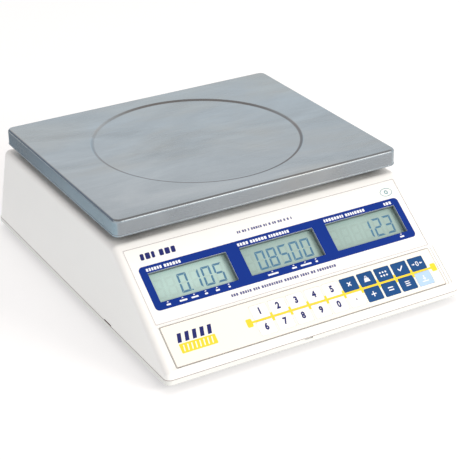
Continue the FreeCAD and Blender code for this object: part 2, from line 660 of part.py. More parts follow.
def make_power_switch():
    body = box(-14.0, 0.2, -9.4, 9.4, -6.4, 6.4)
    flange = box(0.0, 1.6, -10.8, 10.8, -7.8, 7.8)
    flange = flange.makeFillet(0.7, [e for e in flange.Edges if e.CenterOfMass.x > 1.5])
    frame = body.fuse(flange).cut(box(-10.5, 3.0, -9.0, 9.0, -5.2, 5.2))
    for y in (-5.0, 0.0, 5.0):
        frame = frame.fuse(box(-21.0, -13.5, y - 0.4, y + 0.4, -2.4, 2.4))
    for z in (-5.3, 4.3):
        frame = frame.fuse(rod(1.2, -3.5, 0, z, z + 1.0))
    frame = frame.removeSplitter()
    frame.translate(V(-SIDE_SINK, 0, 0))
    return on_right_wall(frame, *SWITCH_AT)


ROCKER_TILT = 10.0


def make_power_rocker():
    profile = [(-6.0, -3.0), (0.3, -7.6), (3.2, -7.6), (1.6, 0.0), (3.2, 7.6), (0.3, 7.6), (-6.0, 3.0)]
    corners = [V(x, y, -4.9) for x, y in profile]
    rocker = Part.Face(Part.makePolygon(corners + corners[:1])).extrude(V(0, 0, 9.8))
    rocker = rocker.cut(rod(1.27, -3.5, 0, -5.2, -4.0)).cut(rod(1.27, -3.5, 0, 4.0, 5.2))
    rocker.rotate(V(-3.5, 0, 0), V(0, 0, 1), ROCKER_TILT)
    rocker.translate(V(-SIDE_SINK, 0, 0))
    return on_right_wall(rocker, *SWITCH_AT)


def make_bubble_level():
    x, y = LEVEL_AT
    cup = rod(9.0, x, y, DECK_Z - 7, DECK_Z).fuse(rod(11.5, x, y, DECK_Z, DECK_Z + 1.6))
    cup = cup.cut(rod(7.4, x, y, DECK_Z - 5, DECK_Z + 2))
    dome = rod(7.4, x, y, DECK_Z - 5, DECK_Z + 1.2)
    return cup.fuse(dome).removeSplitter()


# ---------------------------------------------------------------- feet
def make_foot_pad(x, y):
    pad = rod(PAD_R, x, y, 0, PAD_H)
    pad = pad.makeFillet(0.6, [e for e in pad.Edges if e.CenterOfMass.z < 0.01 and e.Length > 20])
    for r in (9.0, 6.0):
        pad = pad.cut(rod(r + 0.6, x, y, -1, 0.6).cut(rod(r - 0.6, x, y, -1, 0.6)))
    return pad.cut(rod(3.06, x, y, 0.9, PAD_H + 1))


def make_foot_knob(x, y):
    knob = rod(KNOB_R, x, y, 3.35, 8.9)
    for i in range(12):
        a = math.radians(30 * i)
        knob = knob.cut(rod(1.7, x + 14.9 * math.cos(a), y + 14.9 * math.sin(a), 3, 9.5))
    knob = knob.fuse(rod(3.0, x, y, 1.1, 4)).fuse(rod(STUD_R, x, y, 8, 22.0))
    return knob.removeSplitter()


# ---------------------------------------------------------------- write the parts
KEY_NAMES = (("key_1", "key_2", "key_3", "key_4", "key_5",
              "key_clear", "key_unit_weight", "key_sample", "key_check", "key_zero"),
             ("key_6", "key_7", "key_8", "key_9", "key_0",
              "key_point", "key_add", "key_total", "key_mode", "key_tare"))

FEET = (("front_left", -1, -1), ("front_right", 1, -1), ("rear_left", -1, 1), ("rear_right", 1, 1))

os.makedirs("parts", exist_ok=True)

save("upper_shell", make_upper_shell())
save("lower_shell", make_lower_shell())
save("case_screws", make_case_screws())
save("base_plate", make_base_plate())
save("cell_base_spacer", make_cell_base_spacer())
save("load_cell", make_load_cell())
save("cell_top_spacer", make_cell_top_spacer())
save("lower_cell_screws", make_lower_cell_screws())
save("upper_cell_screws", make_upper_cell_screws())
save("overload_stop", make_overload_stop())
save("pan_support", make_pan_support())
save("pan_cushions", make_pan_cushions())
save("weighing_pan", make_weighing_pan())
save("display_label", make_display_label())
save("display_lens", make_display_lens())
save("lcd_left", make_lcd(0))
save("lcd_middle", make_lcd(1))
save("lcd_right", make_lcd(2))
save("lcd_holder", make_lcd_holder())
save("display_board", make_display_board())
save("keypad_overlay", make_keypad_overlay())
save("keypad_circuit", make_keypad_circuit())
save("key_domes", make_key_domes())
for row, names in enumerate(KEY_NAMES):
    for column, name in enumerate(names):
        save(name, make_key(row, column))
save("main_board", make_main_board())
save("board_parts", make_board_parts())
save("battery", make_battery())
save("battery_strap", make_battery_strap())
save("battery_door", make_battery_door())
save("dc_jack", make_dc_jack())
save("power_switch", make_power_switch())
save("power_rocker", make_power_rocker())
save("bubble_level", make_bubble_level())
for place, sx, sy in FEET:
    save("foot_pad_" + place, make_foot_pad(sx * FOOT_X, sy * FOOT_Y))
    save("foot_knob_" + place, make_foot_knob(sx * FOOT_X, sy * FOOT_Y))
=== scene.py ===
import json
import math
import random

import bmesh
import bpy
from mathutils import Matrix, Vector


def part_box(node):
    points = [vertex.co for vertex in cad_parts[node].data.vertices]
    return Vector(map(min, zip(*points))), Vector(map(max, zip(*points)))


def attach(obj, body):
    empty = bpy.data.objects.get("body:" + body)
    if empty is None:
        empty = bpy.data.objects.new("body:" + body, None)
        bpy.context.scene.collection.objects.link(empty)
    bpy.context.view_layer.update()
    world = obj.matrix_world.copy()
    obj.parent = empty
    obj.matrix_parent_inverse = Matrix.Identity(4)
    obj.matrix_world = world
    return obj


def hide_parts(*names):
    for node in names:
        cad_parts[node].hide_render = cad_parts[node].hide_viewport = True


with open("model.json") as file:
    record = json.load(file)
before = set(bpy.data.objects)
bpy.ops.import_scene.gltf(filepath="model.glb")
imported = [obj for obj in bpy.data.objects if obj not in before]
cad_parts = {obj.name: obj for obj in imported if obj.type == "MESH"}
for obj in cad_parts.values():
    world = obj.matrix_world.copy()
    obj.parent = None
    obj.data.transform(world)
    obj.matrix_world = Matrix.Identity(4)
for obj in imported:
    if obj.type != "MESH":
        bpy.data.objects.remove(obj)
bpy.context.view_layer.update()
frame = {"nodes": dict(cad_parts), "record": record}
NODES = frame["nodes"]
MM = 0.001

# ------------------------------------------------------------------ the sloped panel's own axes
TILT = math.radians(36.87)
COS, SIN = math.cos(TILT), math.sin(TILT)
LABEL_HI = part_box("display_label")[1]
LABEL_FACE = -0.10 * MM          # top of the label film, from the slope plane
LABEL_BACK = -0.45 * MM
PANEL_Y = LABEL_HI.y + LABEL_BACK * SIN
PANEL_Z = LABEL_HI.z - LABEL_FACE * COS
PANEL = Matrix.Translation((0, PANEL_Y, PANEL_Z)) @ Matrix.Rotation(TILT, 4, "X")


# ------------------------------------------------------------------ node helpers
class Graph:
    """A short way to wire shader nodes."""

    def __init__(self, name):
        self.mat = bpy.data.materials.new(name)
        self.mat.use_nodes = True
        self.tree = self.mat.node_tree
        self.tree.nodes.clear()
        self.out = self.tree.nodes.new("ShaderNodeOutputMaterial")
        self.coords = self.tree.nodes.new("ShaderNodeTexCoord").outputs["Object"]

    def node(self, kind, **values):
        n = self.tree.nodes.new(kind)
        for key, value in values.items():
            if hasattr(n, key) and key not in n.inputs:
                setattr(n, key, value)
        return n

    def link(self, a, b):
        self.tree.links.new(a, b)

    def scaled(self, factors, rotate=(0, 0, 0)):
        m = self.node("ShaderNodeMapping")
        m.inputs["Scale"].default_value = factors
        m.inputs["Rotation"].default_value = rotate
        self.link(self.coords, m.inputs["Vector"])
        return m.outputs["Vector"]

    def noise(self, scale, detail=3.0, rough=0.55, vector=None, distort=0.0):
        n = self.node("ShaderNodeTexNoise")
        n.inputs["Scale"].default_value = scale
        n.inputs["Detail"].default_value = detail
        n.inputs["Roughness"].default_value = rough
        n.inputs["Distortion"].default_value = distort
        self.link(vector or self.coords, n.inputs["Vector"])
        return n.outputs["Fac"]

    def voronoi(self, scale, vector=None, feature="F1"):
        n = self.node("ShaderNodeTexVoronoi")
        n.feature = feature
        n.inputs["Scale"].default_value = scale
        self.link(vector or self.coords, n.inputs["Vector"])
        return n.outputs["Distance"]

    def math(self, op, a, b=0.5, clamp=False):
        n = self.node("ShaderNodeMath")
        n.operation = op
        n.use_clamp = clamp
        for socket, value in zip(n.inputs, (a, b)):
            if isinstance(value, (int, float)):
                socket.default_value = value
            else:
                self.link(value, socket)
        return n.outputs[0]

    def range(self, fac, a, b, c, d):
        n = self.node("ShaderNodeMapRange")
        for name, value in (("From Min", a), ("From Max", b), ("To Min", c), ("To Max", d)):
            n.inputs[name].default_value = value
        self.link(fac, n.inputs["Value"])
        return n.outputs["Result"]

    def mix(self, fac, a, b, blend="MIX"):
        n = self.node("ShaderNodeMix")
        n.data_type = "RGBA"
        n.blend_type = blend
        for socket, value in ((n.inputs[0], fac), (n.inputs[6], a), (n.inputs[7], b)):
            if isinstance(value, (int, float)):
                socket.default_value = value
            elif isinstance(value, (tuple, list)):
                socket.default_value = value if len(value) == 4 else (*value, 1)
            else:
                self.link(value, socket)
        return n.outputs[2]

    def bump(self, height, distance, strength=1.0, normal=None):
        n = self.node("ShaderNodeBump")
        n.inputs["Strength"].default_value = strength
        n.inputs["Distance"].default_value = distance
        self.link(height, n.inputs["Height"])
        if normal:
            self.link(normal, n.inputs["Normal"])
        return n.outputs["Normal"]

    def painted_shade_mask(self, reach):
        """Mask for painted shade, from ambient occlusion: 1 deep in a gap under another piece, 0 in the open.
        """
        n = self.node("ShaderNodeAmbientOcclusion")
        n.samples = 8
        n.inputs["Distance"].default_value = reach
        return self.math("POWER", self.range(n.outputs["AO"], 0.10, 0.50, 1.0, 0.0), 1.4)

    def shader(self, **values):
        n = self.node("ShaderNodeBsdfPrincipled")
        for key, value in values.items():
            socket = n.inputs[key]
            if isinstance(value, (int, float)):
                socket.default_value = value
            elif isinstance(value, (tuple, list)):
                socket.default_value = value if len(value) == 4 or len(value) == 2 else (*value, 1)
            else:
                self.link(value, socket)
        self.link(n.outputs[0], self.out.inputs["Surface"])
        return n

    def done(self):
        return self.mat


def tone(colour, factor):
    return tuple(min(1.0, c * factor) for c in colour[:3])


def srgb(r, g, b):
    """Display values 0 to 255 as linear colour."""
    def lin(v):
        v /= 255.0
        return v / 12.92 if v <= 0.04045 else ((v + 0.055) / 1.055) ** 2.4
    return lin(r), lin(g), lin(b)


# ------------------------------------------------------------------ materials
def moulded(name, colour, rough=0.5, grain=1500.0, depth=0.00006, cloud=0.02, specular=0.45, painted_shade=0.0):
    """Injection-moulded plastic: spark-eroded grain, faint flow clouds and hand marks, with the last argument
    painting warm dark shade into gaps under other pieces.
    """
    g = Graph(name)
    clouds = g.noise(9.0, 4.0, 0.6)
    fine = g.noise(grain, 2.0, 0.5)
    pits = g.voronoi(grain * 0.6)
    base = g.mix(g.range(clouds, 0.3, 0.7, 0.0, 1.0), tone(colour, 1 - cloud), tone(colour, 1 + cloud))
    speck = g.range(g.noise(grain * 0.35, 2.0), 0.62, 0.8, 0.0, 0.05)
    base = g.mix(speck, base, tone(colour, 0.8))
    if painted_shade:
        # painted shade: warm dark brown where ambient occlusion finds a piece close above, such as under the
        # pan
        base = g.mix(g.math("MULTIPLY", g.painted_shade_mask(0.035), painted_shade), base, (0.06, 0.036, 0.032))
    handled = g.range(g.noise(26.0, 5.0, 0.65), 0.35, 0.75, rough - 0.06, rough + 0.08)
    height = g.math("ADD", fine, g.math("MULTIPLY", pits, 0.5))
    g.shader(**{"Base Color": base, "Roughness": handled, "Specular IOR Level": specular,
                "Normal": g.bump(height, depth, 0.6)})
    return g.done()


def film(name, colour, rough=0.34, grain=2600.0, depth=0.000018, cloud=0.012, coat=0.06):
    """Printed polyester film with a fine velvet grain."""
    g = Graph(name)
    haze = g.range(g.noise(30.0, 3.0), 0.3, 0.7, 0.0, 1.0)
    base = g.mix(haze, tone(colour, 1 - cloud), tone(colour, 1 + cloud))
    grainy = g.noise(grain, 2.0, 0.5)
    smear = g.range(g.noise(55.0, 4.0, 0.7, distort=0.6), 0.35, 0.7, rough - 0.05, rough + 0.1)
    g.shader(**{"Base Color": base, "Roughness": smear, "Specular IOR Level": 0.3,
                "Coat Weight": coat, "Coat Roughness": 0.28, "Normal": g.bump(grainy, depth, 0.5)})
    return g.done()


def ink(name, colour, rough=0.4, cloud=0.03):
    """Screen-printed ink: slightly uneven density and a soft edge-to-edge mottle."""
    g = Graph(name)
    mottle = g.noise(900.0, 3.0, 0.6)
    slow = g.noise(60.0, 2.0)
    shade = g.math("MULTIPLY", g.math("ADD", mottle, slow), 0.5)
    base = g.mix(g.range(shade, 0.35, 0.65, 0.0, 1.0), tone(colour, 1 - cloud), tone(colour, 1 + cloud))
    g.shader(**{"Base Color": base, "Roughness": g.range(mottle, 0.3, 0.7, rough - 0.05, rough + 0.07),
                "Specular IOR Level": 0.18, "Normal": g.bump(mottle, 0.00001, 0.4)})
    return g.done()


def brushed(name, colour, along=0, rough=0.30, streak=0.10, scratches=True, blotch=0.10, groove=None):
    """Brushed sheet steel: long fine grain along one axis, cleaning smears, stray scratches.

    groove is (x, y, radius) of a pressed circle, along which a dark line of painted shade runs, darkest on
    the front side.
    """
    g = Graph(name)
    stretch = [900.0, 900.0, 900.0]
    stretch[along] = 9.0
    fine = g.noise(1.0, 5.0, 0.65, vector=g.scaled(tuple(stretch)))
    coarse_stretch = [150.0, 150.0, 150.0]
    coarse_stretch[along] = 3.0
    coarse = g.noise(1.0, 4.0, 0.6, vector=g.scaled(tuple(coarse_stretch)))
    smear_stretch = [16.0, 16.0, 16.0]
    smear_stretch[along] = 7.0
    smear = g.noise(1.0, 5.0, 0.6, vector=g.scaled(tuple(smear_stretch)), distort=0.8)
    base = g.mix(g.range(coarse, 0.3, 0.7, 0.0, 1.0), tone(colour, 1 - streak), tone(colour, 1 + streak))
    base = g.mix(g.range(smear, 0.32, 0.7, 0.0, 1.0), tone(colour, 1 - blotch * 1.5), base)
    warm_stretch = [9.0, 9.0, 9.0]
    warm_stretch[along] = 4.0
    warm = g.noise(1.0, 4.0, 0.6, vector=g.scaled(tuple(warm_stretch)), distort=0.5)
    warmed = (colour[0] * 1.04, colour[1] * 0.92, colour[2] * 0.80)
    base = g.mix(g.range(warm, 0.46, 0.72, 0.0, 0.75), base, warmed)
    base = g.mix(g.range(fine, 0.35, 0.65, 0.0, 0.16), base, tone(colour, 0.72))
    rough_map = g.math("ADD", g.range(smear, 0.3, 0.7, rough + 0.10, rough - 0.05),
                       g.range(fine, 0.3, 0.7, -0.05, 0.06))
    height = g.math("ADD", g.math("MULTIPLY", fine, 0.7), g.math("MULTIPLY", coarse, 0.5))
    normal = g.bump(height, 0.00003, 0.5)
    if scratches:
        for turn, scale in ((0.6, 46.0), (2.2, 38.0)):
            s = g.scaled((scale * 0.12, scale, scale), (0, 0, turn))
            ridges = g.voronoi(1.0, vector=s, feature="DISTANCE_TO_EDGE")
            worn = g.noise(12.0, 3.0)
            line = g.math("MULTIPLY", g.range(ridges, 0.0, 0.012, 1.0, 0.0),
                          g.range(worn, 0.5, 0.62, 0.0, 1.0), clamp=True)
            base = g.mix(g.math("MULTIPLY", line, 0.10), base, tone(colour, 1.35))
            normal = g.bump(line, -0.00001, 0.3, normal)
    if groove:
        place = g.node("ShaderNodeSeparateXYZ")
        g.link(g.coords, place.inputs[0])
        dx = g.math("SUBTRACT", place.outputs[0], groove[0])
        dy = g.math("SUBTRACT", place.outputs[1], groove[1])
        away = g.math("SQRT", g.math("ADD", g.math("MULTIPLY", dx, dx), g.math("MULTIPLY", dy, dy)))
        line = g.range(g.math("ABSOLUTE", g.math("SUBTRACT", away, groove[2])), 0.0008, 0.0019, 1.0, 0.0)
        # painted shade along the step of the pressed ring, darker towards the front
        ring_shade = g.math("MULTIPLY", line, g.range(dy, -0.09, 0.07, 0.95, 0.12), clamp=True)
        base = g.mix(ring_shade, base, (0.07, 0.052, 0.05))
    g.shader(**{"Base Color": base, "Metallic": 1.0, "Roughness": rough_map, "Normal": normal})
    return g.done()


def machined(name, colour, rough=0.35, grain=700.0, metallic=1.0):
    """Plated, turned or machined metal with fine tool marks and dull patches."""
    g = Graph(name)
    marks = g.noise(grain, 3.0, 0.6)
    dull = g.noise(70.0, 4.0, 0.6)
    base = g.mix(g.range(dull, 0.35, 0.7, 0.0, 1.0), tone(colour, 0.88), tone(colour, 1.06))
    g.shader(**{"Base Color": base, "Metallic": metallic,
                "Roughness": g.range(dull, 0.3, 0.7, rough - 0.06, rough + 0.12),
                "Normal": g.bump(marks, 0.00002, 0.5)})
    return g.done()


def cast(name, colour):
    """Die-cast alloy: pebbled skin and grey oxide patches."""
    g = Graph(name)
    pebble = g.voronoi(900.0)
    fine = g.noise(1600.0, 3.0)
    patch = g.noise(22.0, 5.0, 0.65)
    base = g.mix(g.range(patch, 0.3, 0.72, 0.0, 1.0), tone(colour, 0.8), tone(colour, 1.08))
    height = g.math("ADD", pebble, g.math("MULTIPLY", fine, 0.6))
    g.shader(**{"Base Color": base, "Metallic": 0.9, "Roughness": g.range(patch, 0.3, 0.7, 0.42, 0.6),
                "Normal": g.bump(height, 0.00012, 0.5)})
    return g.done()


def rubber(name, colour=(0.022, 0.022, 0.023)):
    g = Graph(name)
    dust = g.noise(40.0, 5.0, 0.65)
    fine = g.noise(1400.0, 3.0)
    base = g.mix(g.range(dust, 0.45, 0.8, 0.0, 0.5), colour, (0.09, 0.088, 0.083))
    g.shader(**{"Base Color": base, "Roughness": g.range(dust, 0.3, 0.7, 0.62, 0.85),
                "Specular IOR Level": 0.3, "Normal": g.bump(fine, 0.00008, 0.6)})
    return g.done()


def board_green(name):
    """Solder resist with the copper tracks showing through."""
    g = Graph(name)
    tracks = g.node("ShaderNodeTexBrick")
    tracks.inputs["Scale"].default_value = 120.0
    tracks.inputs["Mortar Size"].default_value = 0.03
    g.link(g.coords, tracks.inputs["Vector"])
    lines = tracks.outputs["Fac"]
    base = g.mix(g.math("MULTIPLY", lines, 0.6), (0.010, 0.085, 0.030), (0.03, 0.17, 0.06))
    vias = g.range(g.voronoi(160.0), 0.0, 0.1, 1.0, 0.0)
    base = g.mix(vias, base, (0.55, 0.5, 0.36))
    g.shader(**{"Base Color": base, "Roughness": g.range(g.noise(300.0), 0.3, 0.7, 0.25, 0.4),
                "Coat Weight": 0.3, "Normal": g.bump(lines, 0.00004, 0.5)})
    return g.done()


def see_through(name, tint, gloss_rough=0.06, weight=0.10):
    """Thin clear sheet: light passes straight through, with a faint reflection and dust haze."""
    g = Graph(name)
    clear = g.node("ShaderNodeBsdfTransparent")
    clear.inputs["Color"].default_value = (*tint, 1)
    gloss = g.node("ShaderNodeBsdfGlossy")
    haze = g.noise(60.0, 4.0, 0.7)
    g.link(g.range(haze, 0.3, 0.8, gloss_rough, gloss_rough + 0.12), gloss.inputs["Roughness"])
    facing = g.node("ShaderNodeLayerWeight")
    facing.inputs["Blend"].default_value = 0.5
    edge = g.math("MULTIPLY", g.math("POWER", facing.outputs["Facing"], 5.0), 0.9)
    sheen = g.math("ADD", edge, g.math("MULTIPLY", haze, weight * 0.2))
    blend = g.node("ShaderNodeMixShader")
    g.link(g.math("ADD", sheen, 0.035, clamp=True), blend.inputs[0])
    g.link(clear.outputs[0], blend.inputs[1])
    g.link(gloss.outputs[0], blend.inputs[2])
    g.link(blend.outputs[0], g.out.inputs["Surface"])
    return g.done()


def crystal(name, shade=1.0):
    """Liquid crystal glass: grey-green reflector behind a polariser, a little blotchy."""
    g = Graph(name)
    cloud = g.noise(18.0, 3.0, 0.55)
    fine = g.noise(1900.0, 2.0)
    base = g.mix(g.range(cloud, 0.3, 0.7, 0.0, 1.0), tone(srgb(170, 194, 190), shade),
                 tone(srgb(180, 204, 200), shade))
    base = g.mix(g.range(fine, 0.4, 0.7, 0.0, 0.10), base, tone(srgb(150, 174, 170), shade))
    g.shader(**{"Base Color": base, "Roughness": g.range(fine, 0.3, 0.7, 0.34, 0.46),
                "Specular IOR Level": 0.5, "Coat Weight": 0.5, "Coat Roughness": 0.08})
    return g.done()


def fluid(name, colour, rough=0.04, transmission=0.9):
    g = Graph(name)
    swirl = g.noise(300.0, 2.0)
    base = g.mix(g.range(swirl, 0.3, 0.7, 0.0, 1.0), tone(colour, 0.94), tone(colour, 1.05))
    g.shader(**{"Base Color": base, "Roughness": rough, "Transmission Weight": transmission, "IOR": 1.4})
    return g.done()


DISC_GROOVE = (0.0, 0.035, 0.1022)          # x, y and radius of the pan's pressed disc, metres
MAT = {
    # the last number of both shell materials sets their painted shade under the pan
    "shell_white": moulded("shell_white", srgb(244, 244, 241), 0.46, 1500.0, 0.00007, 0.010, 0.45, 0.97),
    "shell_grey": moulded("shell_grey", srgb(226, 227, 223), 0.5, 1500.0, 0.00007, 0.012, 0.45, 0.8),
    "pan_steel": brushed("pan_steel", srgb(176, 188, 195), 0, 0.20, 0.03, True, 0.13, DISC_GROOVE),
    "zinc_steel": machined("zinc_steel", srgb(196, 198, 200), 0.32),
    "cell_alloy": machined("cell_alloy", srgb(218, 220, 222), 0.36, 500.0),
    "cast_alloy": cast("cast_alloy", srgb(176, 178, 180)),
    "dome_steel": machined("dome_steel", srgb(214, 214, 214), 0.18),
    "black_rubber": rubber("black_rubber"),
    "label_print": film("label_print", srgb(247, 247, 243)),
    "overlay_cream": film("overlay_cream", srgb(246, 245, 234)),
    "key_white": film("key_white", srgb(251, 251, 249)),
    "key_blue": film("key_blue", srgb(24, 76, 132), 0.36, cloud=0.05),
    "key_pale_blue": film("key_pale_blue", srgb(183, 212, 243), 0.34),
    "clear_lens": see_through("clear_lens", (0.985, 0.995, 0.99)),
    "lcd_glass": crystal("lcd_glass"),
    "circuit_board": board_green("circuit_board"),
    "circuit_film": film("circuit_film", srgb(214, 200, 150), 0.3),
    "black_plastic": moulded("black_plastic", (0.020, 0.020, 0.021), 0.46, 1700.0, 0.00007, 0.12),
    "black_gloss": moulded("black_gloss", (0.014, 0.014, 0.015), 0.26, 2200.0, 0.00003, 0.1),
    "battery_case": moulded("battery_case", (0.03, 0.031, 0.034), 0.5, 1200.0, 0.0001, 0.1),
    # painted shade: dark brown for the case's parting gap
    "seam_shade": moulded("seam_shade", srgb(150, 128, 124), 0.8, 1500.0, 0.00005, 0.05, 0.1),
    # painted shade: grey-green for the window walls
    "window_wall_shade": moulded("window_wall_shade", srgb(112, 124, 126), 0.8, 2200.0, 0.00012, 0.08, 0.2),
    "level_clear": fluid("level_clear", (0.62, 0.82, 0.16)),
}
INK_BLUE = ink("ink_blue", srgb(14, 50, 136))
INK_NAVY = ink("ink_navy", srgb(40, 46, 108))
INK_SOFT = ink("ink_soft", srgb(96, 98, 142))
INK_WHITE = ink("ink_white", srgb(238, 240, 246))
INK_YELLOW = ink("ink_yellow", srgb(250, 216, 62))
INK_TEAL = ink("ink_teal", srgb(96, 150, 160))
INK_DIGIT = ink("ink_digit", srgb(84, 134, 168), 0.5, 0.05)
INK_GHOST = crystal("lcd_ghost", 0.93)
# a lighter copy for the left readout's idle segments, matching its painted light
INK_GHOST_PAINTED_LIGHT = crystal("lcd_ghost_painted_light", 1.17)

for part in frame["record"]["subparts"]:
    node = NODES[part["node"]]
    node.data.materials.clear()
    node.data.materials.append(MAT[part["material_slot"]])
# the left readout's glass is a lighter copy: painted light in place of the brighter sheen on it
NODES["lcd_left"].data.materials[0] = crystal("lcd_glass_painted_light", 1.25)


# ------------------------------------------------------------------ mesh helpers
def to_object(name, mesh, material, body):
    obj = bpy.data.objects.new(name, mesh)
    bpy.context.scene.collection.objects.link(obj)
    mesh.materials.clear()
    mesh.materials.append(material)
    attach(obj, body)
    return obj


def rounded_loop(x0, x1, y0, y1, r, steps=6):
    """Corner-rounded rectangle, anticlockwise."""
    r = min(r, (x1 - x0) / 2, (y1 - y0) / 2)
    points = []
    for cx, cy, start in ((x1 - r, y1 - r, 0), (x0 + r, y1 - r, 90),
                          (x0 + r, y0 + r, 180), (x1 - r, y0 + r, 270)):
        for i in range(steps + 1):
            a = math.radians(start + 90.0 * i / steps)
            points.append((cx + r * math.cos(a), cy + r * math.sin(a)))
    return points


def oval_loop(cx, cy, a, b, steps=40):
    return [(cx + a * math.cos(2 * math.pi * i / steps), cy + b * math.sin(2 * math.pi * i / steps))
            for i in range(steps)]


def circle_loop(cx, cy, r, steps=32):
    return oval_loop(cx, cy, r, r, steps)


def plate(name, loops, low, high, material, body, slot, matrix=PANEL):
    """Flat closed plates from outlines in millimetres on the panel (x across, y up the slope)."""
    curve = bpy.data.curves.new(name, "CURVE")
    curve.dimensions = "2D"
    curve.fill_mode = "BOTH"
    curve.extrude = (high - low) / 2 / MM
    for loop in loops:
        spline = curve.splines.new("POLY")
        spline.points.add(len(loop) - 1)
        spline.use_cyclic_u = True
        for point, (x, y) in zip(spline.points, loop):
            point.co = (x, y, 0, 1)
    return settle(name, curve, (low + high) / 2, material, body, matrix)


def settle(name, curve, height, material, body, matrix, shift=(0, 0), squeeze=1.0):
    """Turns a curve drawn in millimetres into a closed mesh in its place on the object."""
    holder = bpy.data.objects.new(name + "_curve", curve)
    bpy.context.scene.collection.objects.link(holder)
    bpy.context.view_layer.update()
    mesh = bpy.data.meshes.new_from_object(holder.evaluated_get(bpy.context.evaluated_depsgraph_get()))
    mesh.name = name
    bpy.data.objects.remove(holder)
    bm = bmesh.new()
    bm.from_mesh(mesh)
    bmesh.ops.remove_doubles(bm, verts=bm.verts, dist=2e-4)
    bm.transform(matrix @ Matrix.Translation((shift[0] * MM, shift[1] * MM, height))
                 @ Matrix.Diagonal((MM * squeeze, MM, MM, 1)))
    bmesh.ops.recalc_face_normals(bm, faces=bm.faces)
    bm.to_mesh(mesh)
    bm.free()
    return to_object(name, mesh, material, body)


def digit_plate(name, text, size, at, low, high, material, body, slot, bold=0.0, matrix=PANEL):
    """A plain sans number, centred on a point of the panel."""
    curve = bpy.data.curves.new(name, "FONT")
    curve.body = text
    curve.size = size
    curve.align_x = "CENTER"
    curve.align_y = "CENTER"
    curve.offset = bold
    curve.extrude = (high - low) / 2 / MM
    curve.resolution_u = 4
    return settle(name, curve, (low + high) / 2, material, body, matrix, at, 0.86)


# ------------------------------------------------------------------ where things are on the panel
def panel_box(node):
    """(x0, x1, y0, y1) of a node on the panel, in millimetres."""
    inverse = PANEL.inverted()
    spots = [inverse @ v.co for v in NODES[node].data.vertices]
    xs = [p.x / MM for p in spots]
    ys = [p.y / MM for p in spots]
    return min(xs), max(xs), min(ys), max(ys)


LCD_BOX = {side: panel_box("lcd_" + side) for side in ("left", "middle", "right")}
LCD_MID = {side: ((b[0] + b[1]) / 2, (b[2] + b[3]) / 2) for side, b in LCD_BOX.items()}
WINDOW_W, WINDOW_H = 78.4, 29.4
LENS_FACE = max((PANEL.inverted() @ v.co).z for v in NODES["display_lens"].data.vertices)
LCD_FACE = max((PANEL.inverted() @ v.co).z for v in NODES["lcd_left"].data.vertices)


def window_loop(side, grow=0.0, radius=0.6):
    x, y = LCD_MID[side]
    return rounded_loop(x - WINDOW_W / 2 - grow, x + WINDOW_W / 2 + grow,
                        y - WINDOW_H / 2 - grow, y + WINDOW_H / 2 + grow, radius)


# blue surround with the three windows cut out
SURROUND = (-138.6, 138.2, -63.1, -19.2)
plate("print_surround", [rounded_loop(*SURROUND, 4.2, 10)] + [window_loop(s, 0.02) for s in LCD_MID],
      LABEL_FACE, LABEL_FACE + 0.05 * MM, INK_BLUE, "base", "label_print")


# grey strip round the inside of each window: painted shade on the window walls
for side, (x, y) in LCD_MID.items():
    half_w, half_h = WINDOW_W / 2, WINDOW_H / 2
    outer = rounded_loop(x - half_w - 0.34, x + half_w + 0.34, y - half_h - 0.34, y + half_h + 0.34, 0.6, 3)
    inner = rounded_loop(x - half_w + 0.02, x + half_w - 0.02, y - half_h + 0.02, y + half_h - 0.02, 0.5, 3)
    plate("window_shade_" + side, [outer, inner], LENS_FACE + 0.03 * MM, LABEL_BACK - 0.03 * MM,
          MAT["window_wall_shade"], "base", "black_plastic")


def block_line(name, x0, words, y, height, block, material, low, high, lean=0.0):
    """Small print stood in for by plain blocks: words is how many blocks each word has."""
    loops = []
    dice = random.Random(name)
    x = x0
    for count in words:
        for _ in range(count):
            width = block * dice.uniform(0.72, 1.18)
            loop = rounded_loop(x, x + width, y - height / 2, y + height / 2, height * 0.16, 3)
            loops.append([(px + lean * (py - y), py) for px, py in loop])
            x += width + block * 0.34
        x += block * 0.75
    plate(name, loops, low, high, material, "base", "label_print")


ON_LABEL = (LABEL_FACE, LABEL_FACE + 0.04 * MM)
ON_SURROUND = (LABEL_FACE + 0.05 * MM, LABEL_FACE + 0.09 * MM)
block_line("print_title", -131.8, (3, 3), -10.1, 6.2, 4.2, INK_NAVY, *ON_LABEL, 0.12)
block_line("print_capacity", -34.0, (2, 2, 1, 5, 2, 1, 2, 2, 1, 1, 1), -11.2, 2.5, 1.75, INK_SOFT, *ON_LABEL)
block_line("print_notice", -66.8, (3, 5, 3, 9, 6, 4, 2, 8), -68.5, 2.7, 1.95, INK_SOFT, *ON_LABEL)
for side, words in (("left", (6, 6)), ("middle", (4, 6, 8)), ("right", (8, 8))):
    left_edge = LCD_MID[side][0] - WINDOW_W / 2 + (-0.2 if side != "right" else 0.6)
    block_line("print_over_" + side, left_edge, words, -23.3, 3.0, 2.15, INK_WHITE, *ON_SURROUND)
block_line("print_over_corner", LCD_MID["right"][0] + WINDOW_W / 2 - 9.9, (3,), -23.3, 3.0, 2.4, INK_WHITE,
           *ON_SURROUND)


def pointer_row(name, side, offsets, widths):
    """Small pointers under a window, each with a short bar."""
    x_mid = LCD_MID[side][0]
    loops = []
    for offset, width in zip(offsets, widths):
        x = x_mid + offset
        loops.append([(x - 1.1, -57.5), (x + 1.1, -57.5), (x, -56.4)])
        loops.append(rounded_loop(x - width / 2, x + width / 2, -60.4, -58.8, 0.5, 3))
    plate(name, loops, *ON_SURROUND, INK_WHITE, "base", "label_print")


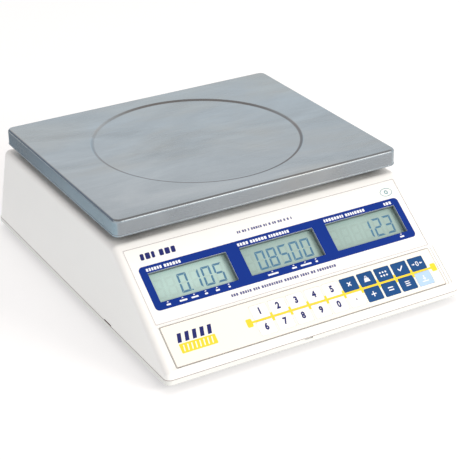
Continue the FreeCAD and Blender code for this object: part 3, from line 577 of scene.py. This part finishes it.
pointer_row("print_under_left", "left", (-33.0, -18.5, -7.0, 4.5, 16.0, 28.0), (4.2, 7.5, 7.0, 3.0, 4.0, 2.0))
pointer_row("print_under_middle", "middle", (-19.0, 3.5, 16.0, 27.5), (11.0, 5.0, 11.5, 2.4))
pointer_row("print_under_right", "right", (31.0,), (4.6,))

# plain oval mark at the upper right
RING_AT = (130.6, -11.6)
oval = oval_loop(*RING_AT, 6.7, 4.4)
oval_in = oval_loop(*RING_AT, 6.1, 3.8)
plate("print_oval", [oval, oval_in, circle_loop(130.6, -11.6, 2.1), circle_loop(130.6, -11.6, 1.1)],
      *ON_LABEL, INK_TEAL, "base", "label_print")

# thin shadow lines where the sheets meet the case
LABEL_BOX = panel_box("display_label")
OVERLAY_BOX = panel_box("keypad_overlay")


def rule(name, box, inset, width, radius, low, high, material, slot):
    x0, x1, y0, y1 = box
    loops = []
    for d in (inset, inset + width):
        loops.append(rounded_loop(x0 + d, x1 - d, y0 + d, y1 - d, radius, 5))
    plate(name, loops, low, high, material, "base", slot)


# painted shade: colours of the thin lines along the edges of the label and the overlay
EDGE_SHADE = ink("edge_shade", srgb(196, 190, 192))
EDGE_SHADE_DARK = ink("edge_shade_dark", srgb(158, 146, 146))
rule("label_rule", LABEL_BOX, 0.05, 0.36, 1.2, LABEL_FACE, LABEL_FACE + 0.02 * MM, EDGE_SHADE, "label_print")

# ------------------------------------------------------------------ readouts
SEGMENTS = {"0": "abcdef", "1": "bc", "2": "abdeg", "3": "abcdg", "4": "bcfg", "5": "acdfg",
            "6": "acdefg", "7": "abc", "8": "abcdefg", "9": "abcdfg"}
DIGIT_W, DIGIT_H, DIGIT_T, DIGIT_PITCH, DIGIT_LEAN = 9.3, 18.9, 2.0, 12.05, 0.065


def segment_loops(lit, x, y):
    """Outlines of seven-segment bars, lower left corner of the digit at x, y."""
    w, h, t = DIGIT_W, DIGIT_H, DIGIT_T
    g = 0.22
    m = h / 2
    bars = {
        "a": [(g, h), (w - g, h), (w - t - g, h - t), (t + g, h - t)],
        "d": [(g, 0), (t + g, t), (w - t - g, t), (w - g, 0)],
        "g": [(t * 0.5 + g, m), (t + g, m + t / 2), (w - t - g, m + t / 2), (w - t * 0.5 - g, m),
              (w - t - g, m - t / 2), (t + g, m - t / 2)],
        "f": [(0, h - g), (t, h - t - g), (t, m + t * 0.5 + g), (t * 0.4, m + g), (0, m + t * 0.4)],
        "e": [(0, g), (0, m - t * 0.4), (t * 0.4, m - g), (t, m - t * 0.5 - g), (t, t + g)],
        "b": [(w, h - g), (w, m + t * 0.4), (w - t * 0.4, m + g),
              (w - t, m + t * 0.5 + g), (w - t, h - t - g)],
        "c": [(w, g), (w - t, t + g), (w - t, m - t * 0.5 - g), (w - t * 0.4, m - g), (w, m - t * 0.4)],
    }
    return [[(x + px + DIGIT_LEAN * py, y + py) for px, py in bars[s]] for s in lit]


def readout(side, text):
    mid_x, mid_y = LCD_MID[side]
    right = mid_x + WINDOW_W / 2 - 7.4 - DIGIT_W
    y = mid_y - DIGIT_H / 2 - 0.5
    lit, ghost = [], []
    digits = text.replace(".", "")
    for i in range(6):
        x = right - DIGIT_PITCH * i
        on = SEGMENTS[digits[-1 - i]] if i < len(digits) else ""
        lit += segment_loops(on, x, y)
        ghost += segment_loops([s for s in "abcdefg" if s not in on], x, y)
    if "." in text:
        after = len(text) - text.index(".") - 1
        x = right - DIGIT_PITCH * (after - 1) - (DIGIT_PITCH - DIGIT_W) / 2 - 0.1
        lit.append(rounded_loop(x - 0.7, x + 0.7, y, y + 1.4, 0.2, 2))
    face = LCD_FACE
    plate("readout_" + side, lit, face, face + 0.03 * MM, INK_DIGIT, "base", "lcd_glass")
    idle = INK_GHOST_PAINTED_LIGHT if side == "left" else INK_GHOST
    plate("readout_idle_" + side, ghost, face, face + 0.015 * MM, idle, "base", "lcd_glass")


readout("left", "0.105")
readout("middle", "0.8500")
readout("right", "123")

# ------------------------------------------------------------------ keypad print
KEYS = [["key_1", "key_2", "key_3", "key_4", "key_5",
         "key_clear", "key_unit_weight", "key_sample", "key_check", "key_zero"],
        ["key_6", "key_7", "key_8", "key_9", "key_0",
         "key_point", "key_add", "key_total", "key_mode", "key_tare"]]
KEY_BOX = {name: panel_box(name) for row in KEYS for name in row}
KEY_MID = {name: ((b[0] + b[1]) / 2, (b[2] + b[3]) / 2) for name, b in KEY_BOX.items()}
OVERLAY_FACE = -0.25 * MM
KEY_FACE = -0.15 * MM
ON_OVERLAY = (OVERLAY_FACE, OVERLAY_FACE + 0.04 * MM)
ON_KEY = (KEY_FACE, KEY_FACE + 0.04 * MM)

PITCH = (KEY_MID["key_zero"][0] - KEY_MID["key_1"][0]) / 9
LINE_Y = (KEY_MID["key_1"][1] + KEY_MID["key_6"][1]) / 2
FIRST_X = KEY_MID["key_1"][0] - PITCH / 2


def rail_loops():
    """The yellow rail between the key rows: end blocks, a thin line, a tick at each column edge."""
    half, tick, reach, seam = 0.95, 1.15, 4.0, 0.02
    left = FIRST_X - 4.6
    right = FIRST_X + PITCH * 10 + 5.2
    loops = [rounded_loop(x - 2.9, x + 2.9, LINE_Y - reach, LINE_Y + reach, 1.3, 5) for x in (left, right)]
    loops.append(rounded_loop(left + 2.9 + seam, right - 2.9 - seam, LINE_Y - half, LINE_Y + half, 0.05, 1))
    for i in range(1, 10):
        x = FIRST_X + PITCH * i
        loops.append(rounded_loop(x - tick, x + tick, LINE_Y + half + seam, LINE_Y + reach, 0.3, 3))
        loops.append(rounded_loop(x - tick, x + tick, LINE_Y - reach, LINE_Y - half - seam, 0.3, 3))
    return loops


plate("print_rail", rail_loops(), *ON_OVERLAY, INK_YELLOW, "base", "overlay_cream")
rule("overlay_rule", OVERLAY_BOX, 0.05, 0.40, 1.2, OVERLAY_FACE, OVERLAY_FACE + 0.02 * MM, EDGE_SHADE_DARK,
     "overlay_cream")

# plain badge: slanted navy bars over a yellow block
BADGE_X, BADGE_Y = -132.6, -87.6
bars = []
for i in range(5):
    x = BADGE_X + 7.4 * i
    bars.append([(x, BADGE_Y - 8.6), (x + 3.9, BADGE_Y - 8.6), (x + 6.3, BADGE_Y), (x + 2.4, BADGE_Y)])
plate("print_badge_bars", bars, *ON_OVERLAY, INK_NAVY, "base", "overlay_cream")
block = [rounded_loop(BADGE_X, BADGE_X + 35.4, BADGE_Y - 18.9, BADGE_Y - 9.8, 0.8, 3)]
for i in range(8):
    x = BADGE_X + 2.6 + 3.95 * i
    block.append([(x, BADGE_Y - 17.4), (x + 1.2, BADGE_Y - 17.4),
                  (x + 2.1, BADGE_Y - 11.3), (x + 0.9, BADGE_Y - 11.3)])
plate("print_badge_block", block, *ON_OVERLAY, INK_YELLOW, "base", "overlay_cream")

for name in KEYS[0] + KEYS[1]:
    text = name[4:]
    if text.isdigit():
        x, y = KEY_MID[name]
        digit_plate("print_" + name, text, 8.6, (x, y + 0.3), *ON_KEY, INK_NAVY, name, "key_white", 0.44)
x, y = KEY_MID["key_point"]
plate("print_key_point", [circle_loop(x, y, 0.75, 20)], *ON_KEY, INK_NAVY, "key_point", "key_white")


def poly(x, y, points):
    return [(x + px, y + py) for px, py in points]


def icon(name, loops, slot="key_blue"):
    plate("print_" + name, loops, *ON_KEY, INK_WHITE, name, slot)


def turned(points, angle):
    c, s = math.cos(math.radians(angle)), math.sin(math.radians(angle))
    return [(c * px - s * py, s * px + c * py) for px, py in points]


PLUS = [(-0.55, 2.6), (0.55, 2.6), (0.55, 0.55), (2.6, 0.55), (2.6, -0.55), (0.55, -0.55),
        (0.55, -2.6), (-0.55, -2.6), (-0.55, -0.55), (-2.6, -0.55), (-2.6, 0.55), (-0.55, 0.55)]
x, y = KEY_MID["key_clear"]
icon("key_clear", [poly(x, y, turned(PLUS, 45))])
x, y = KEY_MID["key_unit_weight"]
icon("key_unit_weight", [poly(x, y, [(-3.2, -2.7), (3.2, -2.7), (2.2, 1.0), (-2.2, 1.0)]),
                         circle_loop(x, y + 2.0, 1.3, 20), circle_loop(x, y + 2.0, 0.65, 16)])
x, y = KEY_MID["key_sample"]
icon("key_sample", [circle_loop(x + 3.1 * i, y + 1.7 * j, 0.95, 18) for i in (-1, 0, 1) for j in (-1, 1)])
x, y = KEY_MID["key_check"]
icon("key_check", [poly(x, y, [(-3.4, -0.2), (-2.5, 0.8), (-0.9, -0.9), (2.6, 2.9), (3.4, 2.0),
                               (-0.9, -2.6)])])
x, y = KEY_MID["key_zero"]
icon("key_zero", [rounded_loop(x - 1.5, x + 1.5, y - 2.4, y + 2.4, 1.4, 6),
                  rounded_loop(x - 0.7, x + 0.7, y - 1.6, y + 1.6, 0.7, 6),
                  *[poly(x, y, [(k * 5.9, 0.4), (k * 4.2, 0.4), (k * 4.2, 1.2), (k * 2.6, 0), (k * 4.2, -1.2),
                                (k * 4.2, -0.4), (k * 5.9, -0.4)]) for k in (-1, 1)]])
x, y = KEY_MID["key_add"]
icon("key_add", [poly(x, y, PLUS)])
x, y = KEY_MID["key_total"]
icon("key_total", [rounded_loop(x - 2.8, x + 2.8, y + low, y + low + 1.2, 0.3, 3) for low in (0.7, -1.9)])
x, y = KEY_MID["key_mode"]
icon("key_mode", [rounded_loop(x - 2.6, x + 2.6, y + k - 0.45, y + k + 0.45, 0.3, 3)
                  for k in (-2.0, 0.0, 2.0)])
x, y = KEY_MID["key_tare"]
icon("key_tare", [poly(x, y, [(-0.6, 3.2), (0.6, 3.2), (0.6, 0.4), (1.9, 0.4), (0, -1.7), (-1.9, 0.4),
                              (-0.6, 0.4)]),
                  rounded_loop(x - 3.6, x + 3.6, y - 3.3, y - 2.3, 0.3, 3)], "key_pale_blue")

# ------------------------------------------------------------------ level under the pan
CUP_LO, CUP_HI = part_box("bubble_level")
CUP_X, CUP_Y = (CUP_LO.x + CUP_HI.x) / 2, (CUP_LO.y + CUP_HI.y) / 2


def lathe(name, profile, material, body, at, steps=48, closed=True):
    """A turned form from (radius, height) points, all in metres."""
    bm = bmesh.new()
    rings = []
    for r, z in profile:
        if r < 1e-7:
            rings.append([bm.verts.new((0, 0, z))])
        else:
            rings.append([bm.verts.new((r * math.cos(2 * math.pi * i / steps),
                                        r * math.sin(2 * math.pi * i / steps), z))
                          for i in range(steps)])
    pairs = list(zip(rings, rings[1:] + (rings[:1] if closed else [])))
    for a, b in pairs:
        if len(a) == 1 and len(b) == 1:
            continue
        for i in range(steps):
            j = (i + 1) % steps
            if len(a) == 1:
                bm.faces.new((a[0], b[j], b[i]))
            elif len(b) == 1:
                bm.faces.new((a[i], a[j], b[0]))
            else:
                bm.faces.new((a[i], a[j], b[j], b[i]))
    bmesh.ops.recalc_face_normals(bm, faces=bm.faces)
    bm.transform(Matrix.Translation(at))
    mesh = bpy.data.meshes.new(name)
    bm.to_mesh(mesh)
    bm.free()
    mesh.shade_smooth()
    obj = to_object(name, mesh, material, body)
    edge = obj.modifiers.new("edges", "BEVEL")
    edge.width = 0.00015
    edge.segments = 2
    edge.limit_method = "ANGLE"
    edge.angle_limit = math.radians(35)
    edge.harden_normals = True
    return obj


rim = CUP_HI.z
seat = (CUP_X, CUP_Y, 0)
level_cup = lathe("level_cup", [(0.0078, rim - 0.0062), (0.0078, rim - 0.0006), (0.0084, rim), (0.0112, rim),
                                (0.0115, rim - 0.0004), (0.0115, rim - 0.0016), (0.0090, rim - 0.0016),
                                (0.0090, rim - 0.0086), (0.0, rim - 0.0086), (0.0, rim - 0.0062)],
                  MAT["black_plastic"], "base", seat)
lathe("level_fluid", [(0.0, rim - 0.0060), (0.0074, rim - 0.0060), (0.0074, rim - 0.0016),
                      (0.0050, rim - 0.0009), (0.0, rim - 0.0007)], MAT["level_clear"], "base", seat)
lathe("level_ring", [(0.0029, rim - 0.00060), (0.0033, rim - 0.00060), (0.0033, rim - 0.00045),
                     (0.0029, rim - 0.00045)], MAT["black_gloss"], "base", seat)
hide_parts("bubble_level")

# ------------------------------------------------------------------ power switch, inlet and feet
DRAFT = math.radians(2.1)


def wall_frame(y, z):
    """Right wall, x outward: the switch and inlet sit in pockets 3.6 mm deep."""
    skin = 155.5 - math.tan(DRAFT) * (z - 6.0)
    return (Matrix.Translation((skin * MM, y * MM, z * MM)) @ Matrix.Rotation(-DRAFT, 4, "Y")
            @ Matrix.Translation((-3.6 * MM, 0, 0)))


ROCKER = (wall_frame(-10.0, 42.0) @ Matrix.Translation((-3.5 * MM, 0, 0))
          @ Matrix.Rotation(math.radians(10.0), 4, "Z"))
for name, sign, loops in (("rocker_bar", -1, [rounded_loop(-0.35, 0.35, -2.0, 2.0, 0.2, 3)]),
                          ("rocker_ring", 1, [circle_loop(0, 0, 1.9, 32), circle_loop(0, 0, 1.3, 32)])):
    run = Vector((1.6 * sign, 7.6, 0)).normalized()
    face = Matrix(((run.x, 0, run.y, 0), (run.y, 0, -run.x, 0), (0, 1, 0, 0), (0, 0, 0, 1)))
    place = ROCKER @ Matrix.Translation(((2.4 + 3.5) * MM, 3.8 * sign * MM, 0)) @ face
    plate(name, loops, -0.01 * MM, 0.04 * MM, INK_WHITE, "rocker", "black_gloss", place)


def turn_to(obj, matrix):
    obj.data.transform(matrix)
    return obj


JACK = wall_frame(34.0, 42.0) @ Matrix.Rotation(math.radians(90), 4, "Y") @ Matrix.Diagonal((MM, MM, MM, 1))
sleeve = turn_to(lathe("jack_sleeve", [
    (2.9, -8.9), (4.9, -8.9), (4.9, 0.0), (6.6, 0.0), (6.6, 0.85), (6.25, 1.2), (5.3, 1.2), (5.1, 1.0),
    (4.5, 1.0), (4.3, 1.15), (3.3, 1.15), (2.9, 0.75)],
    MAT["black_plastic"], "base", (0, 0, 0), 64), JACK)
turn_to(lathe("jack_contact", [(2.55, -8.8), (2.88, -8.8), (2.88, -1.0), (2.55, -0.8)],
              MAT["zinc_steel"], "base", (0, 0, 0), 48), JACK)
turn_to(lathe("jack_pin", [(0.0, -9.0), (1.0, -9.0), (1.0, -1.2), (0.75, -0.75), (0.0, -0.6)],
              MAT["dome_steel"], "base", (0, 0, 0), 32, False), JACK)
bm = bmesh.new()
bmesh.ops.create_cube(bm, size=1.0)
bm.transform(JACK @ Matrix.Translation((0.25, 0, -11.95)) @ Matrix.Diagonal((10.4, 9.9, 6.0, 1)))
mesh = bpy.data.meshes.new("jack_body")
bm.to_mesh(mesh)
bm.free()
to_object("jack_body", mesh, MAT["black_plastic"], "base")
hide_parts("dc_jack")


def stack(name, rings, material, body):
    """A closed solid from rings of points, bottom to top, with flat ends."""
    bm = bmesh.new()
    loops = [[bm.verts.new(p) for p in ring] for ring in rings]
    count = len(loops[0])
    for a, b in zip(loops, loops[1:]):
        for i in range(count):
            j = (i + 1) % count
            bm.faces.new((a[i], a[j], b[j], b[i]))
    bm.faces.new(list(reversed(loops[0])))
    bm.faces.new(loops[-1])
    bmesh.ops.recalc_face_normals(bm, faces=bm.faces)
    mesh = bpy.data.meshes.new(name)
    bm.to_mesh(mesh)
    bm.free()
    mesh.shade_smooth()
    mesh.set_sharp_from_angle(angle=math.radians(40))
    return to_object(name, mesh, material, body)


def scalloped(radius, count, centre, cutter, at, z, steps=240):
    """Outline of a round knob with finger scallops."""
    ring = []
    for i in range(steps):
        a = 2 * math.pi * i / steps
        off = (a + math.pi / count) % (2 * math.pi / count) - math.pi / count
        inside = cutter ** 2 - (centre * math.sin(off)) ** 2
        r = min(radius, centre * math.cos(off) - math.sqrt(inside)) if inside > 0 else radius
        ring.append((at[0] + r * math.cos(a) * MM, at[1] + r * math.sin(a) * MM, z * MM))
    return ring


def threaded(radius, depth, pitch, at, low, high, steps=40, rows=10):
    """Rings of a screw thread, truncated at the crest, blending to plain ends."""
    rings = []
    total = int((high - low) / pitch * rows)
    for k in range(total + 1):
        z = low + (high - low) * k / total
        fade = min(1.0, (high - z) / 0.8, (z - low) / 0.8)
        ring = []
        for i in range(steps):
            turn = ((z - low) / pitch - i / steps) % 1.0
            groove = max(0.0, 1.0 - abs(turn - 0.5) * 2.6)
            r = radius - depth * (groove * fade + (1.0 - fade) * 0.6)
            a = 2 * math.pi * i / steps
            ring.append((at[0] + r * math.cos(a) * MM, at[1] + r * math.sin(a) * MM, z * MM))
        rings.append(ring)
    return rings


for corner, sx, sy in (("front_left", -1, -1), ("front_right", 1, -1),
                       ("rear_left", -1, 1), ("rear_right", 1, 1)):
    at = (sx * 0.128, sy * 0.160)
    knob = stack("knob_form_" + corner, [
        scalloped(radius, 12, centre, 1.7, at, z)
        for radius, centre, z in ((13.4, 14.3, 3.35), (13.85, 14.75, 3.55), (14.0, 14.9, 3.95),
                                  (14.0, 14.9, 8.3), (13.85, 14.75, 8.7), (13.4, 14.3, 8.9))],
                 MAT["black_plastic"], "knob_" + corner)
    stack("knob_stem_" + corner, [[(at[0] + r * math.cos(2 * math.pi * i / 48) * MM,
                                    at[1] + r * math.sin(2 * math.pi * i / 48) * MM, z * MM)
                                   for i in range(48)]
                                  for r, z in ((2.4, 1.1), (2.9, 1.4), (3.0, 1.9), (3.0, 3.34))],
          MAT["zinc_steel"], "knob_" + corner)
    stack("knob_stud_" + corner, threaded(3.98, 0.5, 1.25, at, 8.91, 22.0), MAT["zinc_steel"],
          "knob_" + corner)
    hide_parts("foot_knob_" + corner)

# ------------------------------------------------------------------ rolled bead along the pan's hem
PAN_LO, PAN_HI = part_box("weighing_pan")


def sweep(name, path, profile, material, body):
    """A closed band: each profile point (outward, up) runs round the path of (x, y, nx, ny)."""
    bm = bmesh.new()
    rings = [[bm.verts.new((x + nx * out, y + ny * out, z)) for out, z in profile] for x, y, nx, ny in path]
    for a, b in zip(rings, rings[1:] + rings[:1]):
        for i in range(len(profile)):
            j = (i + 1) % len(profile)
            bm.faces.new((a[i], b[i], b[j], a[j]))
    bmesh.ops.recalc_face_normals(bm, faces=bm.faces)
    mesh = bpy.data.meshes.new(name)
    bm.to_mesh(mesh)
    bm.free()
    mesh.shade_smooth()
    return to_object(name, mesh, material, body)


def outline(lo, hi, radius, steps=12):
    """Points with outward normals round a rounded rectangle."""
    path = []
    for sx, sy, start in ((1, 1, 0), (-1, 1, 90), (-1, -1, 180), (1, -1, 270)):
        cx = (hi.x if sx > 0 else lo.x) - sx * radius
        cy = (hi.y if sy > 0 else lo.y) - sy * radius
        for i in range(steps + 1):
            a = math.radians(start + 90 * i / steps)
            path.append((cx + radius * math.cos(a), cy + radius * math.sin(a), math.cos(a), math.sin(a)))
    return path


bead = [(-0.0003, PAN_LO.z + 0.0002)]
for i in range(9):
    a = math.radians(-90 + 22.5 * i)
    bead.append((0.00042 * math.cos(a), PAN_LO.z + 0.0011 + 0.0009 * math.sin(a)))
bead.append((-0.0003, PAN_LO.z + 0.0020))
sweep("pan_hem_bead", outline(PAN_LO, PAN_HI, 0.007), bead, MAT["pan_steel"], "pan")

# ------------------------------------------------------------------ dark band in the case's parting gap: painted shade of the gap
SEAM_Z = 0.0116
SHELL_LO, SHELL_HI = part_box("lower_shell")
seam = [(-0.0009, SEAM_Z + 0.00003), (-0.00032, SEAM_Z + 0.00003), (-0.00032, SEAM_Z + 0.00047),
        (-0.0009, SEAM_Z + 0.00047)]
seam_lo = Vector((SHELL_LO.x, SHELL_LO.y, 0))
seam_hi = Vector((SHELL_HI.x, SHELL_HI.y - 0.0013, 0))
sweep("case_seam_shade", outline(seam_lo, seam_hi, 0.006), seam, MAT["seam_shade"], "base")

# ------------------------------------------------------------------ floor, light, camera
floor_mesh = bpy.data.meshes.new("floor")
bm = bmesh.new()
bmesh.ops.create_grid(bm, x_segments=2, y_segments=2, size=8.0)
bm.to_mesh(floor_mesh)
bm.free()
floor = bpy.data.objects.new("floor", floor_mesh)
bpy.context.scene.collection.objects.link(floor)
g = Graph("floor_paper")
paper = g.noise(3.0, 3.0)
g.shader(**{"Base Color": g.mix(paper, (0.62, 0.62, 0.62), (0.64, 0.64, 0.64)),
            "Roughness": 0.8, "Specular IOR Level": 0.1, "Emission Color": (1.0, 1.0, 1.0),
            "Emission Strength": 0.48, "Normal": g.bump(g.noise(800.0), 0.0001, 0.2)})
floor_mesh.materials.append(g.done())
floor.location = (0, 0, -0.0002)

scene = bpy.context.scene
scene.view_settings.view_transform = "Standard"
scene.view_settings.look = "None"

world = bpy.data.worlds.new("studio")
scene.world = world
world.use_nodes = True
wt = world.node_tree
wt.nodes.clear()


def world_ramp(source, stops):
    n = wt.nodes.new("ShaderNodeValToRGB")
    while len(n.color_ramp.elements) < len(stops):
        n.color_ramp.elements.new(0.5)
    for element, (place, colour) in zip(n.color_ramp.elements, stops):
        element.position = place
        element.color = (*colour, 1)
    wt.links.new(source, n.inputs["Fac"])
    return n.outputs["Color"]


w_out = wt.nodes.new("ShaderNodeOutputWorld")
w_bg = wt.nodes.new("ShaderNodeBackground")
w_coord = wt.nodes.new("ShaderNodeTexCoord")
w_split = wt.nodes.new("ShaderNodeSeparateXYZ")
wt.links.new(w_coord.outputs["Generated"], w_split.inputs[0])
# a pale floor line, a bright cool wall above it and a dim ceiling
by_height = world_ramp(w_split.outputs["Z"], [
    (0.0, (0.84, 0.83, 0.82)), (0.10, (0.80, 0.80, 0.81)), (0.22, (0.90, 1.0, 1.08)),
    (0.35, (0.90, 1.0, 1.08)), (0.44, (1.16, 1.03, 0.97)), (0.64, (0.98, 0.94, 0.92)),
    (0.80, (0.48, 0.40, 0.37)), (1.0, (0.44, 0.38, 0.36))])
# the far left corner of the room is dark
w_dot = wt.nodes.new("ShaderNodeVectorMath")
w_dot.operation = "DOT_PRODUCT"
w_dot.inputs[1].default_value = Vector((-0.62, 0.74, 0.26)).normalized()
wt.links.new(w_coord.outputs["Generated"], w_dot.inputs[0])
by_side = world_ramp(w_dot.outputs["Value"], [(0.0, (1, 1, 1)), (0.72, (1, 1, 1)), (0.90, (0.35, 0.37, 0.42)),
                                              (1.0, (0.30, 0.33, 0.38))])
w_mix = wt.nodes.new("ShaderNodeMix")
w_mix.data_type = "RGBA"
w_mix.blend_type = "MULTIPLY"
w_mix.inputs[0].default_value = 1.0
wt.links.new(by_height, w_mix.inputs[6])
wt.links.new(by_side, w_mix.inputs[7])
wt.links.new(w_mix.outputs[2], w_bg.inputs["Color"])
w_bg.inputs["Strength"].default_value = 0.92
wt.links.new(w_bg.outputs[0], w_out.inputs[0])


def softbox(name, place, aim, size, power, colour=(1, 1, 1)):
    light = bpy.data.lights.new(name, "AREA")
    light.shape = "RECTANGLE"
    light.size, light.size_y = size
    light.energy = power
    light.color = colour
    obj = bpy.data.objects.new(name, light)
    obj.location = place
    obj.rotation_euler = (Vector(aim) - Vector(place)).to_track_quat("-Z", "Y").to_euler()
    scene.collection.objects.link(obj)
    return obj


AIM = (0, 0, 0.05)
# these light the object and stay out of its reflections
for lamp in (softbox("key", (1.05, -1.75, 1.00), AIM, (0.9, 0.7), 26, (1.0, 0.962, 0.905)),
             softbox("top", (0.2, 0.3, 2.2), AIM, (1.6, 1.6), 8, (1.0, 1.0, 1.0)),
             softbox("side", (-1.6, -0.5, 0.7), (-0.1, 0, 0.05), (1.0, 0.8), 1.3, (0.96, 1.0, 1.0))):
    lamp.visible_glossy = False
# the weak gleam of the key light on the rolled steel edges
softbox("gleam", (0.99, -1.65, 0.95), AIM, (0.9, 0.7), 5.0, (1.0, 0.86, 0.76)).visible_diffuse = False


def flag(name, low, high, tone_a, tone_b, turn_from, turn_to):
    """A card lying on the floor that shows only in reflections."""
    mesh = bpy.data.meshes.new(name)
    bm = bmesh.new()
    bm.faces.new([bm.verts.new(c) for c in ((low[0], low[1], 0.004), (high[0], low[1], 0.004),
                                            (high[0], high[1], 0.004), (low[0], high[1], 0.004))])
    bm.to_mesh(mesh)
    bm.free()
    obj = bpy.data.objects.new(name, mesh)
    scene.collection.objects.link(obj)
    g = Graph(name)
    split = g.node("ShaderNodeSeparateXYZ")
    g.link(g.coords, split.inputs[0])
    cloud = g.math("ADD", split.outputs["Y"], g.math("MULTIPLY", g.noise(6.0), 0.1))
    turn = g.range(cloud, turn_from, turn_to, 0.0, 1.0)
    g.shader(**{"Base Color": g.mix(turn, tone_a, tone_b), "Roughness": 0.9})
    mesh.materials.append(g.done())
    obj.visible_camera = False
    obj.visible_diffuse = False
    obj.visible_shadow = False
    obj.visible_transmission = False


flag("flag_left", (-0.62, -0.25), (-0.19, 0.62), (0.76, 0.92, 1.0), (0.36, 0.43, 0.50), 0.16, 0.40)
flag("flag_front", (-0.30, -0.62), (0.60, -0.20), (0.80, 0.78, 0.78), (0.84, 0.80, 0.80), -0.4, -0.2)

# solved from the edges of the pan, the case and the printed films
CAMERA_PLACE = (-0.61966, -1.12678, 0.67951)
AZIMUTH, ELEVATION, ROLL = math.radians(-29.41), math.radians(26.66), math.radians(-1.01)
camera_data = bpy.data.cameras.new("camera")
camera = bpy.data.objects.new("camera", camera_data)
scene.collection.objects.link(camera)
camera_data.sensor_width = 36.0
camera_data.lens = 114.08
camera_data.clip_end = 50.0
level = math.cos(ELEVATION)
back = Vector((math.sin(AZIMUTH) * level, -math.cos(AZIMUTH) * level, math.sin(ELEVATION)))
side = (-back).cross(Vector((0, 0, 1))).normalized()
up = side.cross(-back)
right = math.cos(ROLL) * side + math.sin(ROLL) * up
upward = -math.sin(ROLL) * side + math.cos(ROLL) * up
camera.matrix_world = Matrix.Translation(CAMERA_PLACE) @ Matrix((
    (right.x, upward.x, back.x, 0), (right.y, upward.y, back.y, 0),
    (right.z, upward.z, back.z, 0), (0, 0, 0, 1)))
scene.camera = camera
